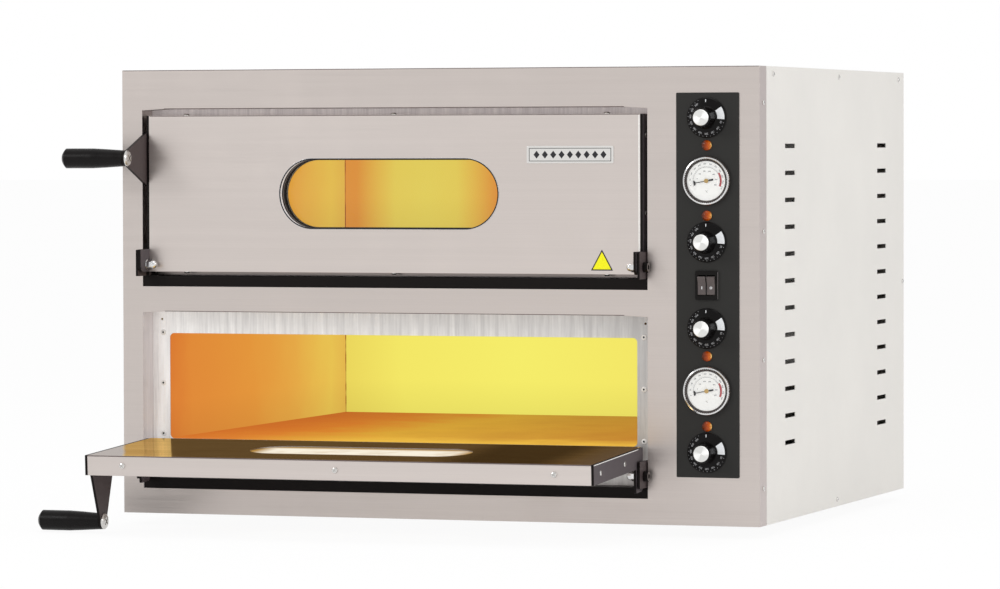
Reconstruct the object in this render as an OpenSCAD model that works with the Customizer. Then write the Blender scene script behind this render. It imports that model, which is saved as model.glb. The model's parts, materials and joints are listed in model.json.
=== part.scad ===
// Two-deck electric pizza oven for a worktop.
// Millimetres, +Z up. The origin is the centre of the cabinet's footprint on the surface it stands on,
// the doors face -Y and the controls are at +X. At rest the upper door is shut and the lower one is open.

/* [Cabinet] */
// Width of the cabinet
body_w = 900; // [890:1:960]
// Depth of the cabinet, without doors and handles
body_d = 763; // [755:1:860]
// Height of the cabinet, without its feet
body_h = 602; // [600:1:660]
// Thickness of the sheet steel
sheet = 1.2; // [0.8:0.1:1.5]
// Depth of the front panel's side flanges
flange_d = 32; // [28:1:36]
// Height of the feet
foot_h = 16; // [15:0.5:30]
// Diameter of the feet
foot_d = 36; // [30:1:50]
// Distance from the cabinet's side to the middle of a foot
foot_inset_x = 100; // [80:1:140]
// Distance from the cabinet's front to the middle of a front foot
foot_inset_y = 215; // [190:1:240]

/* [Decks] */
// Offset of both decks from the cabinet's middle
deck_x = -62; // [-64:0.5:-60]
// Height of the lower door recess above the cabinet's bottom
lower_recess_z = 34; // [33:0.1:38]
// Distance from one deck to the next
deck_pitch = 274.6; // [272:0.1:290]
// Width of a door recess
recess_w = 718; // [716:1:720]
// Height of a door recess
recess_h = 239; // [238:0.5:242]
// Depth of a door recess
recess_d = 34.5; // [34:0.5:38]
// Width of the opening into the chamber
opening_w = 668; // [640:1:672]
// Height of the opening into the chamber
opening_h = 144; // [120:0.5:148]
// Height of the chamber's sill above the recess's bottom
sill_z = 66; // [64:0.1:68]
// Depth of the chamber
chamber_d = 680; // [600:1:680]
// Thickness of the hearth stone
stone_t = 14; // [10:1:16]

/* [Doors] */
// Width of the door's skin
door_w = 698.2; // [690:0.1:702]
// Height of the door's skin
door_h = 211.3; // [205:0.1:214]
// Thickness of the door
door_t = 26.6; // [26:0.1:29]
// Gap below the door
door_lift = 20.3; // [20:0.1:22]
// How far the inner pan hangs below the skin
pan_drop = 4.5; // [2:0.5:5]
// Width of the door's window, over its trim
window_w = 313; // [200:1:400]
// Height of the door's window, over its trim
window_h = 95.8; // [60:0.1:120]
// How far a door opens
open_angle = 92.8; // [85:0.1:92.8]

/* [Hinges and handles] */
// Distance of the hinge axis in front of the front panel
hinge_y = 10.6; // [10:0.1:11]
// Height of the hinge axis above the recess's bottom
hinge_z = 30.2; // [30:0.1:31]
// Diameter of the shoulder screws that the doors turn on
shoulder_d = 8; // [6:0.5:9]
// Distance of the grip's axis in front of the front panel
grip_y = 68.2; // [60:0.1:69]
// Height of the grip's axis above the recess's bottom
grip_z = 174.2; // [165:0.1:180]
// Length of the grip
grip_len = 90; // [80:1:110]
// Largest diameter of the grip
grip_d = 26.8; // [22:0.1:27]

/* [Controls] */
// Offset of the controls from the cabinet's middle
control_x = 378.7; // [378:0.1:381]
// Width of the fascia
fascia_w = 85.4; // [84:0.1:90]
// Height of the fascia
fascia_h = 504; // [500:1:520]
// Height of the fascia's middle above the cabinet's bottom
fascia_z = 315.4; // [312:0.1:320]
// Diameter of the thermostat knobs' skirts
knob_d = 53; // [48:1:56]
// Distance of the outer and inner knobs from the fascia's middle
knob_rows = [219.2, 56.5]; // [50:0.1:225]
// Distance of the outer and inner indicator lamps from the fascia's middle
lamp_rows = [184, 92]; // [85:1:190]
// Distance of the two gauges from the fascia's middle
gauge_row = 137.5; // [135:0.5:140]
// Diameter of the gauges' bezels
gauge_d = 64; // [60:1:66]

/* [Hidden] */
$fn = 48;

UPPER = 1;
LOWER = 0;
// Air left between two pieces that only lie against each other
gap = 0.1;
// Clearance of a pivot in its bore
run_gap = 0.05;
// Overlap that a cutting shape has past the surface it cuts
cut = 1;

steel = "#c9c0bb";
painted = "#e8e4df";
dark = "#3a3838";
black = "#1c1b1b";
zinc = "#d3d5d8";
chrome = "#e4e6e8";
bronze = "#a98342";
stone = "#c98a4b";
amber = "#e07a18";
wool = "#d9c98f";
clear = [0.9, 0.92, 0.9, 0.3];

// Cabinet
side_x = body_w / 2;
inner_x = side_x - sheet - gap;
panel_y = flange_d + 0.4;
rear_y = body_d - sheet;
lap = 17;
foot_hole_r = 4.25;

// Ventilation slots in the side panels
slot_len = 50;
slot_high = 6;
slot_count = 12;
slot_pitch = 35.85;
slot_z = 103;
slot_y = [148, 635];

// Sheet-metal screws as [distance behind the front, height] on each side of the cabinet
flange_screws = [for (k = [0:3]) [17.7, 49.3 + 168.3 * k]];
top_screws = [for (y = [66, 399, 731]) [y, body_h - 10]];
edge_screws = [[body_d - 8, 301], [389, 9.8]];
side_screws = concat(flange_screws, top_screws, edge_screws);
tapping_r = 1.75;
tapping_head_r = 3.4;

// Decks, measured from the middle of the recess's bottom edge
recess_x = recess_w / 2;
chamber_x = opening_w / 2 + 1;
chamber_y = recess_d + sheet + 0.5;
chamber_top = sill_z + opening_h + 16;
stone_top = sill_z + 0.6;
stone_z = stone_top - stone_t;
chamber_floor = stone_z - 20;
opening_r = 6;
face_plate_screw_z = [73, 142, 211];
face_plate_screw_x = 343.5;
rail_h = 14.5;

// Insulation and the bay beside it
slab_left = deck_x - chamber_x - sheet - 46;
slab_right = 317.6;
slab_y = [recess_d + 8, rear_y - 1.5];
bay_wall_x = slab_right + 0.4;
element_r = 4;
element_y = [chamber_y + 190, chamber_y + 490];
element_leg = 60;
element_z = [chamber_floor + 10, chamber_top - 8];
probe_y = chamber_y + 24;
gauge_probe_y = chamber_y + 54;
lamp_y = chamber_y + 110;
lamp_z = sill_z + 86;
lamp_r = 20;

// Doors
door_x = door_w / 2;
door_top = door_lift + door_h;
pan_t = 1.5;
skin_back = door_t - pan_t;
window_x = -3.2;
window_z = door_lift + 105.7;
trim_lip = 1;
trim_wall = 1;
trim_ledge = 0.7;
glass_t = 4;
glass_y = skin_back - glass_t - gap;
plate_t = 3.5;
ear_reach = 31;
ear_h = 30.5;
ear_toe_r = 9;
door_screw_y = door_t / 2;
door_screw_x = [-299.3, 0, 299.3];
plate_screw_z = [door_lift + 80.5, door_lift + 183.5];
bracket_screw_z = [grip_z - 20, grip_z + 20];
// End screws as [side, height]: the handle bracket's pair takes the place of one on the left
end_screws = concat([for (z = plate_screw_z) [1, z]], [for (z = bracket_screw_z) [-1, z]],
    [[-1, plate_screw_z[0]]]);
bracket_t = 3;
bracket_x = recess_x - 2 - bracket_t;
bracket_reach = 29;
bracket_top = hinge_z + 20.1;
stop_top = door_lift - 1.1;
thread_r = 3;

// Handles
bracket_up = 34.5;
bracket_down = 36.5;
tip_r = 10.6;
grip_end_r = tip_r + 0.2;
grip_screw_r = 4;

// Controls
fascia_t = 1.5;
// The controls sit a little left of the fascia's middle, and the gauges and lamps a little low
fascia_x = control_x + 0.9;
dial_drop = 0.9;
knob_zs = [for (s = [1, -1]) for (z = (s > 0 ? knob_rows : [knob_rows[1], knob_rows[0]])) fascia_z + s * z];
lamp_zs = [for (s = [1, -1]) for (z = lamp_rows) fascia_z - dial_drop + s * z];
gauge_zs = [fascia_z - dial_drop - gauge_row, fascia_z - dial_drop + gauge_row];
spindle_r = 3;
bush_r = 5;
lamp_body_r = 5;
gauge_body_r = 27;
dial_y = -3;
pointer_rest = 190.5;
switch_w = 30.5;
switch_h = 38;
cell_w = 11;
cell_h = 26.6;
cell_x = 6.2;
rocker_tilt = 8;
rocker_y = -1;

// Rear connections
rear_x = 380;
gland_z = 60;
stud_z = 110;

// ---------- Helpers ----------

// Moves pieces from the cabinet's own frame, with its front face at y = 0 and its bottom at z = 0
module place() {
    translate([0, -body_d / 2, foot_h]) children();
}

// Moves pieces from a deck's frame, at the middle of its recess's bottom edge
module deck(level) {
    place() translate([deck_x, 0, lower_recess_z + level * deck_pitch]) children();
}

// Holds a door's pieces shut on the upper deck and open on the lower deck
module on_door(level) {
    deck(level) translate([0, -hinge_y, hinge_z])
        rotate([level == LOWER ? open_angle : 0, 0, 0])
            translate([0, hinge_y, -hinge_z]) children();
}

// Box between two corners
module block(low, high) {
    translate(low) cube(high - low);
}

// Outline in X and Z, as a plate from y to y + t
module upright(y, t) {
    translate([0, y + t, 0]) rotate([90, 0, 0]) linear_extrude(t) children();
}

// Outline in Y and Z, as a plate from x to x + t
module sideways(x, t) {
    translate([x, 0, 0]) rotate([90, 0, 90]) linear_extrude(t) children();
}

// Round bars along X and Y
module rod_x(r, x0, x1) {
    translate([x0, 0, 0]) rotate([0, 90, 0]) cylinder(r = r, h = x1 - x0);
}

module rod_y(r, y0, y1) {
    translate([0, y1, 0]) rotate([90, 0, 0]) cylinder(r = r, h = y1 - y0);
}

// Rectangle with round corners, centred
module rounded(w, h, r) {
    square([w - 2 * r, h], center = true);
    square([w, h - 2 * r], center = true);
    for (x = [-1, 1], y = [-1, 1]) translate([x * (w / 2 - r), y * (h / 2 - r)]) circle(r);
}

// Rectangle with half-round ends, centred
module stadium(w, h) {
    square([w - h, h], center = true);
    for (x = [-1, 1]) translate([x * (w - h) / 2, 0]) circle(h / 2);
}

// Screw with a domed cross-slot head, standing on z = 0 with its shank below
module screw(head_r, head_h, shank_r, shank_len) {
    slot = head_r * 1.1;
    difference() {
        rotate_extrude()
            polygon([[0, 0], [head_r, 0], [head_r, head_h * 0.35], [head_r * 0.85, head_h * 0.75],
                [head_r * 0.5, head_h * 0.97], [0, head_h]]);
        for (a = [45, 135]) rotate([0, 0, a])
            translate([-slot / 2, -slot / 11, head_h * 0.45]) cube([slot, slot / 5.5, head_h]);
    }
    translate([0, 0, -shank_len]) cylinder(r = shank_r, h = shank_len + 0.1);
}

// Blind rivet with a dished middle, standing on z = 0 with its shank below
module rivet(head_r, head_h, shank_r, shank_len) {
    rotate_extrude()
        polygon([[0, -shank_len], [shank_r, -shank_len], [shank_r, 0], [head_r, 0], [head_r, head_h * 0.3],
            [head_r * 0.8, head_h * 0.8], [head_r * 0.5, head_h], [head_r * 0.36, head_h],
            [head_r * 0.28, head_h * 0.25], [0, head_h * 0.2]]);
}

// Puts children on both sides of the cabinet at each screw place, with +Z pointing out
module at_side_screws(places) {
    for (p = places, s = [-1, 1]) translate([s * side_x, p[0], p[1]]) rotate([0, s * 90, 0]) children();
}

// Outline of a door recess, whose top edge is relieved between its two ends
module recess_outline() {
    rise = 1.6;
    run = 31;
    polygon([[-recess_x, 0], [recess_x, 0], [recess_x, recess_h], [recess_x - run, recess_h + rise],
        [run - recess_x, recess_h + rise], [-recess_x, recess_h]]);
}

// ---------- Cabinet ----------

module base_pan() {
    color(zinc) place() difference() {
        union() {
            block([-inner_x, panel_y, 0], [inner_x, rear_y - gap, sheet]);
            for (s = [0, 1]) mirror([s, 0, 0])
                block([inner_x - sheet, panel_y + lap + 20, 0], [inner_x, rear_y - lap - 5, lap]);
        }
        at_side_screws([edge_screws[1]]) translate([0, 0, -6]) cylinder(r = tapping_r + 0.1, h = 8);
        for (x = [-1, 1], y = [-1, 1])
            translate([x * (side_x - foot_inset_x), body_d / 2 + y * (body_d / 2 - foot_inset_y), -cut])
                cylinder(r = foot_hole_r, h = sheet + 2 * cut);
    }
}

module feet() {
    color(black) for (x = [-1, 1], y = [-1, 1])
        translate([x * (side_x - foot_inset_x), y * (body_d / 2 - foot_inset_y), 0]) difference() {
            rotate_extrude() polygon([[0, 0], [foot_d / 2 - 2, 0], [foot_d / 2, 2], [foot_d / 2 - 1, foot_h],
                [0, foot_h]]);
            translate([0, 0, -cut]) cylinder(r = foot_hole_r, h = foot_h + 2 * cut);
        }
}

// Holes that the controls need in the sheet behind the fascia
module control_holes(y0, y1) {
    for (z = knob_zs) translate([control_x, 0, z]) rod_y(bush_r + 0.2, y0, y1);
    for (z = lamp_zs) translate([control_x, 0, z]) rod_y(lamp_body_r + 0.2, y0, y1);
    for (z = gauge_zs) translate([control_x, 0, z]) rod_y(gauge_body_r + 0.3, y0, y1);
    block([control_x - switch_w / 2 + 2, y0, fascia_z - switch_h / 2 + 2],
        [control_x + switch_w / 2 - 2, y1, fascia_z + switch_h / 2 - 2]);
}

module front_panel() {
    color(steel) difference() {
        union() {
            place() block([-side_x, 0, 0], [side_x, sheet, body_h]);
            place() difference() {
                block([-side_x, 0, 0], [side_x, flange_d, body_h]);
                block([-side_x + sheet, sheet / 2, sheet], [side_x - sheet, flange_d + cut, body_h - sheet]);
            }
            for (level = [LOWER, UPPER]) deck(level)
                block([-recess_x - sheet, 0, -sheet], [recess_x + sheet, recess_d, recess_h + 2.4 * sheet]);
        }
        for (level = [LOWER, UPPER]) deck(level)
            upright(-cut, recess_d + 2 * cut) recess_outline();
        place() control_holes(-cut, sheet + cut);
        place() at_side_screws(flange_screws) translate([0, 0, -6]) cylinder(r = tapping_r + 0.1, h = 8);
    }
}

// The right-hand panel, with its slots and a tongue that laps inside the front panel's flange
module side_panel() {
    difference() {
        union() {
            block([side_x - sheet, panel_y, 0], [side_x, body_d, body_h]);
            block([inner_x - sheet, panel_y - lap - 5, 8], [inner_x, panel_y + lap, body_h - 8]);
            block([inner_x - sheet, panel_y + 1, 8], [side_x - sheet / 2, panel_y + lap, body_h - 8]);
        }
        for (y = slot_y, k = [0:slot_count - 1])
            translate([side_x - sheet / 2, y, slot_z + k * slot_pitch])
                cube([sheet + 2 * cut, slot_len, slot_high], center = true);
        at_side_screws(side_screws) translate([0, 0, -6]) cylinder(r = tapping_r + 0.1, h = 8);
    }
}

module left_side_panel() {
    color(painted) place() mirror([1, 0, 0]) side_panel();
}

module right_side_panel() {
    color(painted) place() side_panel();
}

module rear_panel() {
    corner = lap + 3;
    color(painted) place() difference() {
        union() {
            block([-inner_x, rear_y, 0], [inner_x, body_d, body_h]);
            for (s = [0, 1]) mirror([s, 0, 0])
                block([inner_x - sheet, rear_y - lap + 2, corner],
                    [inner_x, rear_y + sheet / 2, body_h - corner]);
        }
        for (z = [180:36:540], x = [-1, 0, 1] * 30)
            translate([rear_x - 5 + x, rear_y, z]) cube([22, 4 * sheet, slot_high], center = true);
        translate([rear_x, 0, gland_z]) rod_y(12.1, rear_y - cut, body_d + cut);
        translate([rear_x, 0, stud_z]) rod_y(3.2, rear_y - cut, body_d + cut);
        at_side_screws([edge_screws[0]]) translate([0, 0, -6]) cylinder(r = tapping_r + 0.1, h = 8);
    }
}

module top_panel() {
    color(painted) place() difference() {
        union() {
            block([-inner_x, panel_y, body_h - sheet], [inner_x, rear_y - gap, body_h]);
            for (s = [0, 1]) mirror([s, 0, 0])
                block([inner_x - sheet, panel_y + lap + 5, body_h - lap], [inner_x, rear_y - lap, body_h]);
        }
        at_side_screws(top_screws) translate([0, 0, -6]) cylinder(r = tapping_r + 0.1, h = 8);
    }
}

// Places in the bay where tubes and lamps pass from it into a deck's chamber, as [y, z, radius]
deck_passages = concat(
    [for (y = element_y, dy = [-1, 1] * element_leg / 2, z = element_z) [y + dy, z, element_r + 0.5]],
    [for (z = element_z) [probe_y, z, 1.6]],
    [[gauge_probe_y, element_z[1], 1.6], [lamp_y, lamp_z, lamp_r + 0.5]]
);

// Cuts every passage of both decks between two x positions
module passages(x0, x1) {
    for (level = [LOWER, UPPER], p = deck_passages)
        translate([0, p[0], lower_recess_z + level * deck_pitch + p[1]]) rod_x(p[2], x0, x1);
}

module bay_wall() {
    color(zinc) place() difference() {
        block([bay_wall_x, slab_y[0], sheet + gap], [bay_wall_x + sheet, rear_y - gap, body_h - sheet - gap]);
        passages(bay_wall_x - cut, bay_wall_x + sheet + cut);
    }
}

module cabinet_screws() {
    color(chrome) place() at_side_screws(side_screws) screw(tapping_head_r, 1.8, tapping_r, 5);
}

module control_fascia() {
    color(dark) place() difference() {
        translate([fascia_x, 0, fascia_z]) upright(-fascia_t, fascia_t) rounded(fascia_w, fascia_h, 1.5);
        control_holes(-fascia_t - cut, cut);
    }
}

// ---------- Chambers ----------

// Sheet-metal box that lines a chamber, open to the front, with ledges for the hearth stone
module chamber_liner(level) {
    back = chamber_y + chamber_d;
    color(amber) difference() {
        deck(level) union() {
            difference() {
                block([-chamber_x - sheet, chamber_y, chamber_floor - sheet],
                    [chamber_x + sheet, back + sheet, chamber_top + sheet]);
                block([-chamber_x, chamber_y - cut, chamber_floor], [chamber_x, back, chamber_top]);
            }
            for (s = [0, 1]) mirror([s, 0, 0])
                block([chamber_x - 12, chamber_y, chamber_floor - 0.5],
                    [chamber_x + 0.5, back, stone_z - gap]);
        }
        place() passages(deck_x + chamber_x - 14, deck_x + chamber_x + 2 * sheet);
    }
}

module upper_chamber_liner() {
    chamber_liner(UPPER);
}

module lower_chamber_liner() {
    chamber_liner(LOWER);
}

// Galvanised plate that frames the opening at the back of a door recess
module face_plate(level) {
    hole_r = tapping_r + 0.1;
    color(zinc) deck(level) upright(recess_d + gap, sheet) difference() {
        recess_outline();
        translate([0, sill_z + opening_h / 2]) rounded(opening_w, opening_h, opening_r);
        for (s = [-1, 1], z = face_plate_screw_z) translate([s * face_plate_screw_x, z]) circle(hole_r);
        for (s = [-1, 1]) translate([s * (face_plate_screw_x + 2), recess_h - 10]) circle(1.6);
    }
}

module upper_face_plate() {
    face_plate(UPPER);
}

module lower_face_plate() {
    face_plate(LOWER);
}

module face_plate_screws() {
    color(chrome) for (level = [LOWER, UPPER], s = [-1, 1], z = face_plate_screw_z)
        deck(level) translate([s * face_plate_screw_x, recess_d + gap / 2, z])
            rotate([90, 0, 0]) rivet(3.8, 1.6, tapping_r, 6);
}

// Black channel along the bottom of each recess, which carries the hinge brackets
module hinge_rails() {
    color(black) for (level = [LOWER, UPPER]) deck(level) difference() {
        block([-recess_x + gap, 1.4, gap], [recess_x - gap, recess_d, rail_h]);
        block([-recess_x - cut, 1.4 + 1.5, -cut], [recess_x + cut, recess_d + cut, rail_h - 1.5]);
    }
}

// Fixed hinge ear with a foot on the rail and a lug that stops the open door
module hinge_bracket() {
    foot_t = 1.2;
    foot_back = skin_back - 1;
    difference() {
        union() {
            sideways(bracket_x, bracket_t) union() {
                translate([(recess_d - 2 - bracket_reach) / 2, (rail_h + bracket_top) / 2])
                    rounded(recess_d - 2 + bracket_reach, bracket_top - rail_h, 1.5);
                translate([10, rail_h]) square([recess_d - 12, 10]);
            }
            block([bracket_x - 16, 1.6, rail_h], [bracket_x + 1, foot_back, rail_h + foot_t]);
            block([bracket_x + 1, 1.6, rail_h], [recess_x - gap, foot_back, rail_h + foot_t]);
            block([bracket_x - 4.6, 0.2, rail_h], [bracket_x + 1, 8, stop_top]);
        }
        translate([0, -hinge_y, hinge_z]) rod_x(shoulder_d / 2 + 0.02, bracket_x - cut, recess_x + cut);
    }
}

module hinge_brackets() {
    color(dark) for (level = [LOWER, UPPER], s = [0, 1]) deck(level) mirror([s, 0, 0]) hinge_bracket();
}

// Shoulder screws from the outside, with a thread for the cap nut
module hinge_bolts() {
    head_r = 6.7;
    head_len = 6.8;
    head_x = bracket_x + bracket_t + gap / 2;
    shoulder_end = door_x - gap;
    color(black) for (level = [LOWER, UPPER], s = [0, 1]) deck(level) mirror([s, 0, 0])
        translate([0, -hinge_y, hinge_z]) difference() {
            union() {
                rod_x(head_r, head_x, head_x + (s == 0 ? head_len : 2));
                rod_x(shoulder_d / 2, shoulder_end, head_x + 0.5);
                rod_x(thread_r, shoulder_end - 9, shoulder_end + 0.5);
            }
            if (s == 0) translate([head_x + head_len - 4, 0, 0]) rotate([0, 90, 0])
                cylinder(r = 3.6, h = 5, $fn = 6);
        }
}

// Cap nut and washer at the inner end of each shoulder screw, and the spacer beside the ear
module hinge_nuts() {
    washer_x = door_x - gap;
    nut_af = 11.6;
    nut_x = washer_x - 1.6 - 7;
    color(chrome) for (level = [LOWER, UPPER], s = [0, 1]) deck(level) mirror([s, 0, 0])
        translate([0, -hinge_y, hinge_z]) {
            difference() {
                union() {
                    rod_x(6.9, washer_x - 1.6, washer_x);
                    translate([nut_x, 0, 0]) rotate([0, 90, 0])
                        cylinder(r = nut_af / sqrt(3), h = 7.1, $fn = 6);
                    rod_x(nut_af / 2 - 0.3, nut_x - 2, nut_x + 0.1);
                    translate([nut_x - 1.5, 0, 0]) sphere(nut_af / 2 - 0.3);
                }
                rod_x(thread_r + 0.02, nut_x - 1.6, washer_x + cut);
            }
            difference() {
                rod_x(7, door_x + plate_t + gap, bracket_x - gap);
                rod_x(shoulder_d / 2 + 0.02, door_x, recess_x);
            }
        }
}

module hearth_stones() {
    slack = 0.6;
    color(stone) for (level = [LOWER, UPPER]) deck(level)
        block([slack - chamber_x, chamber_y + slack, stone_z],
            [chamber_x - slack, chamber_y + chamber_d - slack, stone_top]);
}

// Hairpin heating element along X, with its two terminals in the bay
module hairpin() {
    bend_r = element_leg / 2;
    left_x = -chamber_x + 30 + bend_r;
    right_x = bay_wall_x + 10 - deck_x;
    for (s = [-1, 1]) translate([0, s * bend_r, 0]) {
        rod_x(element_r, left_x, right_x);
        rod_x(1.5, right_x - 1, right_x + 10);
    }
    translate([left_x, 0, 0]) rotate([0, 0, 90])
        rotate_extrude(angle = 180) translate([bend_r, 0]) circle(element_r);
}

module heating_elements() {
    color("#6f6a66") for (level = [LOWER, UPPER], y = element_y, z = element_z)
        deck(level) translate([0, y, z]) hairpin();
}

// Mineral-wool slabs below, between and above the chambers, at both sides and behind
module insulation() {
    liner_left = deck_x - chamber_x - sheet - gap;
    liner_right = deck_x + chamber_x + sheet + gap;
    liner_back = chamber_y + chamber_d + sheet + gap;
    liner_low = chamber_floor - sheet - gap;
    liner_high = chamber_top + sheet + gap;
    levels = [
        [sheet + gap, lower_recess_z + liner_low],
        [lower_recess_z + liner_high, lower_recess_z + deck_pitch + liner_low],
        [lower_recess_z + deck_pitch + liner_high, body_h - sheet - gap]
    ];
    low = levels[0][0];
    high = levels[2][1];
    color(wool) place() {
        for (z = levels)
            block([liner_left + gap, slab_y[0], z[0]], [liner_right - gap, liner_back - gap, z[1]]);
        block([slab_left, slab_y[0], low], [liner_left, liner_back - gap, high]);
        difference() {
            block([liner_right, slab_y[0], low], [slab_right, liner_back - gap, high]);
            passages(liner_right - cut, slab_right + cut);
        }
        block([slab_left, liner_back, low], [slab_right, slab_y[1], high]);
    }
}

// Lamp holder from the bay with a domed glass inside the chamber
module oven_lamps() {
    color("#f3e3a0") for (level = [LOWER, UPPER]) deck(level) translate([0, lamp_y, lamp_z]) {
        rod_x(lamp_r, chamber_x - 8, bay_wall_x + 26 - deck_x);
        translate([chamber_x - 8, 0, 0]) sphere(lamp_r - 2);
    }
}

// ---------- Controls ----------

module thermostats() {
    body = 34;
    color("#cfcabf") for (z = knob_zs) place() translate([control_x, 0, z]) difference() {
        union() {
            block([-body / 2, 3, -body / 2], [body / 2, 31, body / 2]);
            rod_y(bush_r, -fascia_t, 3.5);
        }
        rod_y(spindle_r + run_gap, -fascia_t - cut, 14);
    }
}

// Bulb in the chamber and capillary tube back to a thermostat or gauge at height z
module capillary(level, z, start_y, y, probe_z) {
    tube_r = 1;
    z1 = lower_recess_z + level * deck_pitch + probe_z;
    translate([control_x, 0, z]) rod_y(tube_r, start_y, y);
    translate([control_x, y, z]) sphere(tube_r);
    translate([control_x, y, min(z, z1)]) cylinder(r = tube_r, h = abs(z1 - z));
    translate([control_x, y, z1]) sphere(tube_r);
    translate([0, y, z1]) rod_x(tube_r, deck_x + chamber_x - 30, control_x);
    translate([0, y, z1]) rod_x(3, deck_x + chamber_x - 120, deck_x + chamber_x - 29);
}

module capillaries() {
    color("#b0733a") place() for (level = [LOWER, UPPER]) {
        capillary(level, knob_zs[level == UPPER ? 0 : 2], 31, probe_y, element_z[1]);
        capillary(level, knob_zs[level == UPPER ? 1 : 3], 31, probe_y, element_z[0]);
        capillary(level, gauge_zs[level], 26, gauge_probe_y, element_z[1]);
    }
}

module indicator_lamps() {
    color(amber) for (z = lamp_zs) place() translate([control_x, 0, z]) {
        rod_y(lamp_body_r, -fascia_t - 1, 24);
        translate([0, -fascia_t - gap, 0]) rotate([90, 0, 0])
            rotate_extrude() polygon([[0, 0], [6.7, 0], [6.7, 1.6], [6, 3], [4.4, 4.2], [2.2, 4.8], [0, 5]]);
    }
}

module gauge_cases() {
    bezel_r = gauge_d / 2;
    color(chrome) for (z = gauge_zs) place() translate([control_x, 0, z]) rotate([90, 0, 0]) rotate_extrude()
        polygon([[0, -26], [gauge_body_r, -26], [gauge_body_r, fascia_t + gap],
            [bezel_r - 0.5, fascia_t + gap], [bezel_r, 2.4], [bezel_r, 5.5], [bezel_r - 1, 7.2],
            [bezel_r - 2.4, 7.6], [bezel_r - 3.4, 7], [bezel_r - 3.8, 5.2], [gauge_body_r - 1, 5.2],
            [gauge_body_r - 1, -24], [0, -24]]);
}

module gauge_dials() {
    color("#f6f6f4") for (z = gauge_zs) place() translate([control_x, 0, z]) difference() {
        rod_y(gauge_body_r - 1.1, dial_y, dial_y + 0.8);
        rod_y(1 + run_gap, dial_y - cut, dial_y + 2);
    }
}

module gauge_glasses() {
    color(clear) for (z = gauge_zs) place() translate([control_x, 0, z])
        rod_y(gauge_body_r + 1.1, -6.8, -5.3);
}

// Hand of a gauge with its hub and arbor, pointing to its rest mark
module pointer(level) {
    color(black) place() translate([control_x, 0, gauge_zs[level]]) {
        rod_y(1, dial_y - 0.9, dial_y + 8);
        rod_y(2.9, dial_y - 2, dial_y - 0.8);
        upright(dial_y - 1.3, 0.5) rotate([0, 0, pointer_rest]) {
            translate([-9.5, -1.1]) square([6, 2.2]);
            translate([-4, -0.5]) square([20, 1]);
            polygon([[14.8, -0.5], [15.9, -3.1], [17.7, -3.1], [17.7, 3.1], [15.9, 3.1], [14.8, 0.5]]);
        }
    }
}

module upper_pointer() {
    pointer(UPPER);
}

module lower_pointer() {
    pointer(LOWER);
}

// Thermostat knob with its skirt, finger grip, metal cap and the spindle it turns
module knob(z) {
    skirt_r = knob_d / 2;
    color(black) place() translate([control_x, 0, z]) {
        difference() {
            rotate([90, 0, 0]) rotate_extrude()
                polygon([[0, 2.2], [skirt_r, 2.2], [skirt_r, 3.4], [skirt_r - 1.2, 4.6], [15.2, 6.4], [14, 8],
                    [12.6, 28.4], [11.8, 29.6], [0, 29.6]]);
            rod_y(10.6, -30, -28.4);
            rod_y(spindle_r + 0.02, -22, 0);
        }
        rotate([90, 0, 0])
            rotate_extrude() polygon([[0, 28.5], [10.5, 28.5], [10.5, 30], [9.8, 30.7], [0, 30.9]]);
        rod_y(spindle_r, -21.9, 12);
    }
}

module upper_top_knob() {
    knob(knob_zs[0]);
}

module upper_floor_knob() {
    knob(knob_zs[1]);
}

module lower_top_knob() {
    knob(knob_zs[2]);
}

module lower_floor_knob() {
    knob(knob_zs[3]);
}

module switch_frame() {
    color(black) place() translate([control_x, 0, fascia_z]) difference() {
        union() {
            upright(-fascia_t - 3, 3 - gap) rounded(switch_w, switch_h, 2);
            block([2.3 - switch_w / 2, -fascia_t - 1, 2.3 - switch_h / 2],
                [switch_w / 2 - 2.3, 20, switch_h / 2 - 2.3]);
        }
        for (s = [-1, 1]) translate([s * cell_x, 0, 0]) {
            block([-cell_w / 2, -10, -cell_h / 2], [cell_w / 2, 18, cell_h / 2]);
            translate([0, rocker_y, 0]) rod_x(1.5 + run_gap, -cell_w / 2 - 0.7, cell_w / 2 + 0.7);
        }
    }
}

// Rocker that tips about pips in the frame, at rest with its upper half out
module rocker(side) {
    half = cell_w / 2 - 0.2;
    at = [control_x + side * cell_x, rocker_y, fascia_z];
    color(dark) place() translate(at) rotate([rocker_tilt, 0, 0]) {
        sideways(-half, 2 * half)
            polygon([[3, -8], [-1, -12.1], [-4.4, -12.1], [-5.2, -11.4], [-3, 0], [-5.2, 11.4], [-4.4, 12.1],
                [-1, 12.1], [3, 8]]);
        rod_x(1.5, -half - 0.6, half + 0.6);
    }
}

module left_rocker() {
    rocker(-1);
}

module right_rocker() {
    rocker(1);
}

// ---------- Supply connections ----------

module terminal_block() {
    poles = 5;
    pitch = 12;
    color("#efe9dc") place() translate([rear_x - poles * pitch / 2, 690, sheet + gap]) difference() {
        cube([poles * pitch, 26, 22]);
        for (k = [0:poles - 1]) translate([(k + 0.5) * pitch, 0, 0]) {
            translate([0, -cut, 9]) rotate([-90, 0, 0]) cylinder(r = 3, h = 28);
            translate([0, 13, 12]) cylinder(r = 2.4, h = 12);
        }
    }
}

module cable_gland() {
    body_r = 12;
    cable_r = 7;
    color(dark) place() translate([rear_x, 0, gland_z]) difference() {
        union() {
            rod_y(body_r, rear_y - 12, body_d + 24);
            translate([0, body_d + 6, 0]) rotate([90, 0, 0]) cylinder(r = 16, h = 6 - gap, $fn = 6);
            translate([0, rear_y - gap, 0]) rotate([90, 0, 0]) cylinder(r = 16, h = 5, $fn = 6);
            translate([0, body_d + 24, 0]) rotate([90, 0, 0]) cylinder(r = 15, h = 14, $fn = 8);
        }
        rod_y(cable_r, rear_y - 14, body_d + 26);
    }
}

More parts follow.
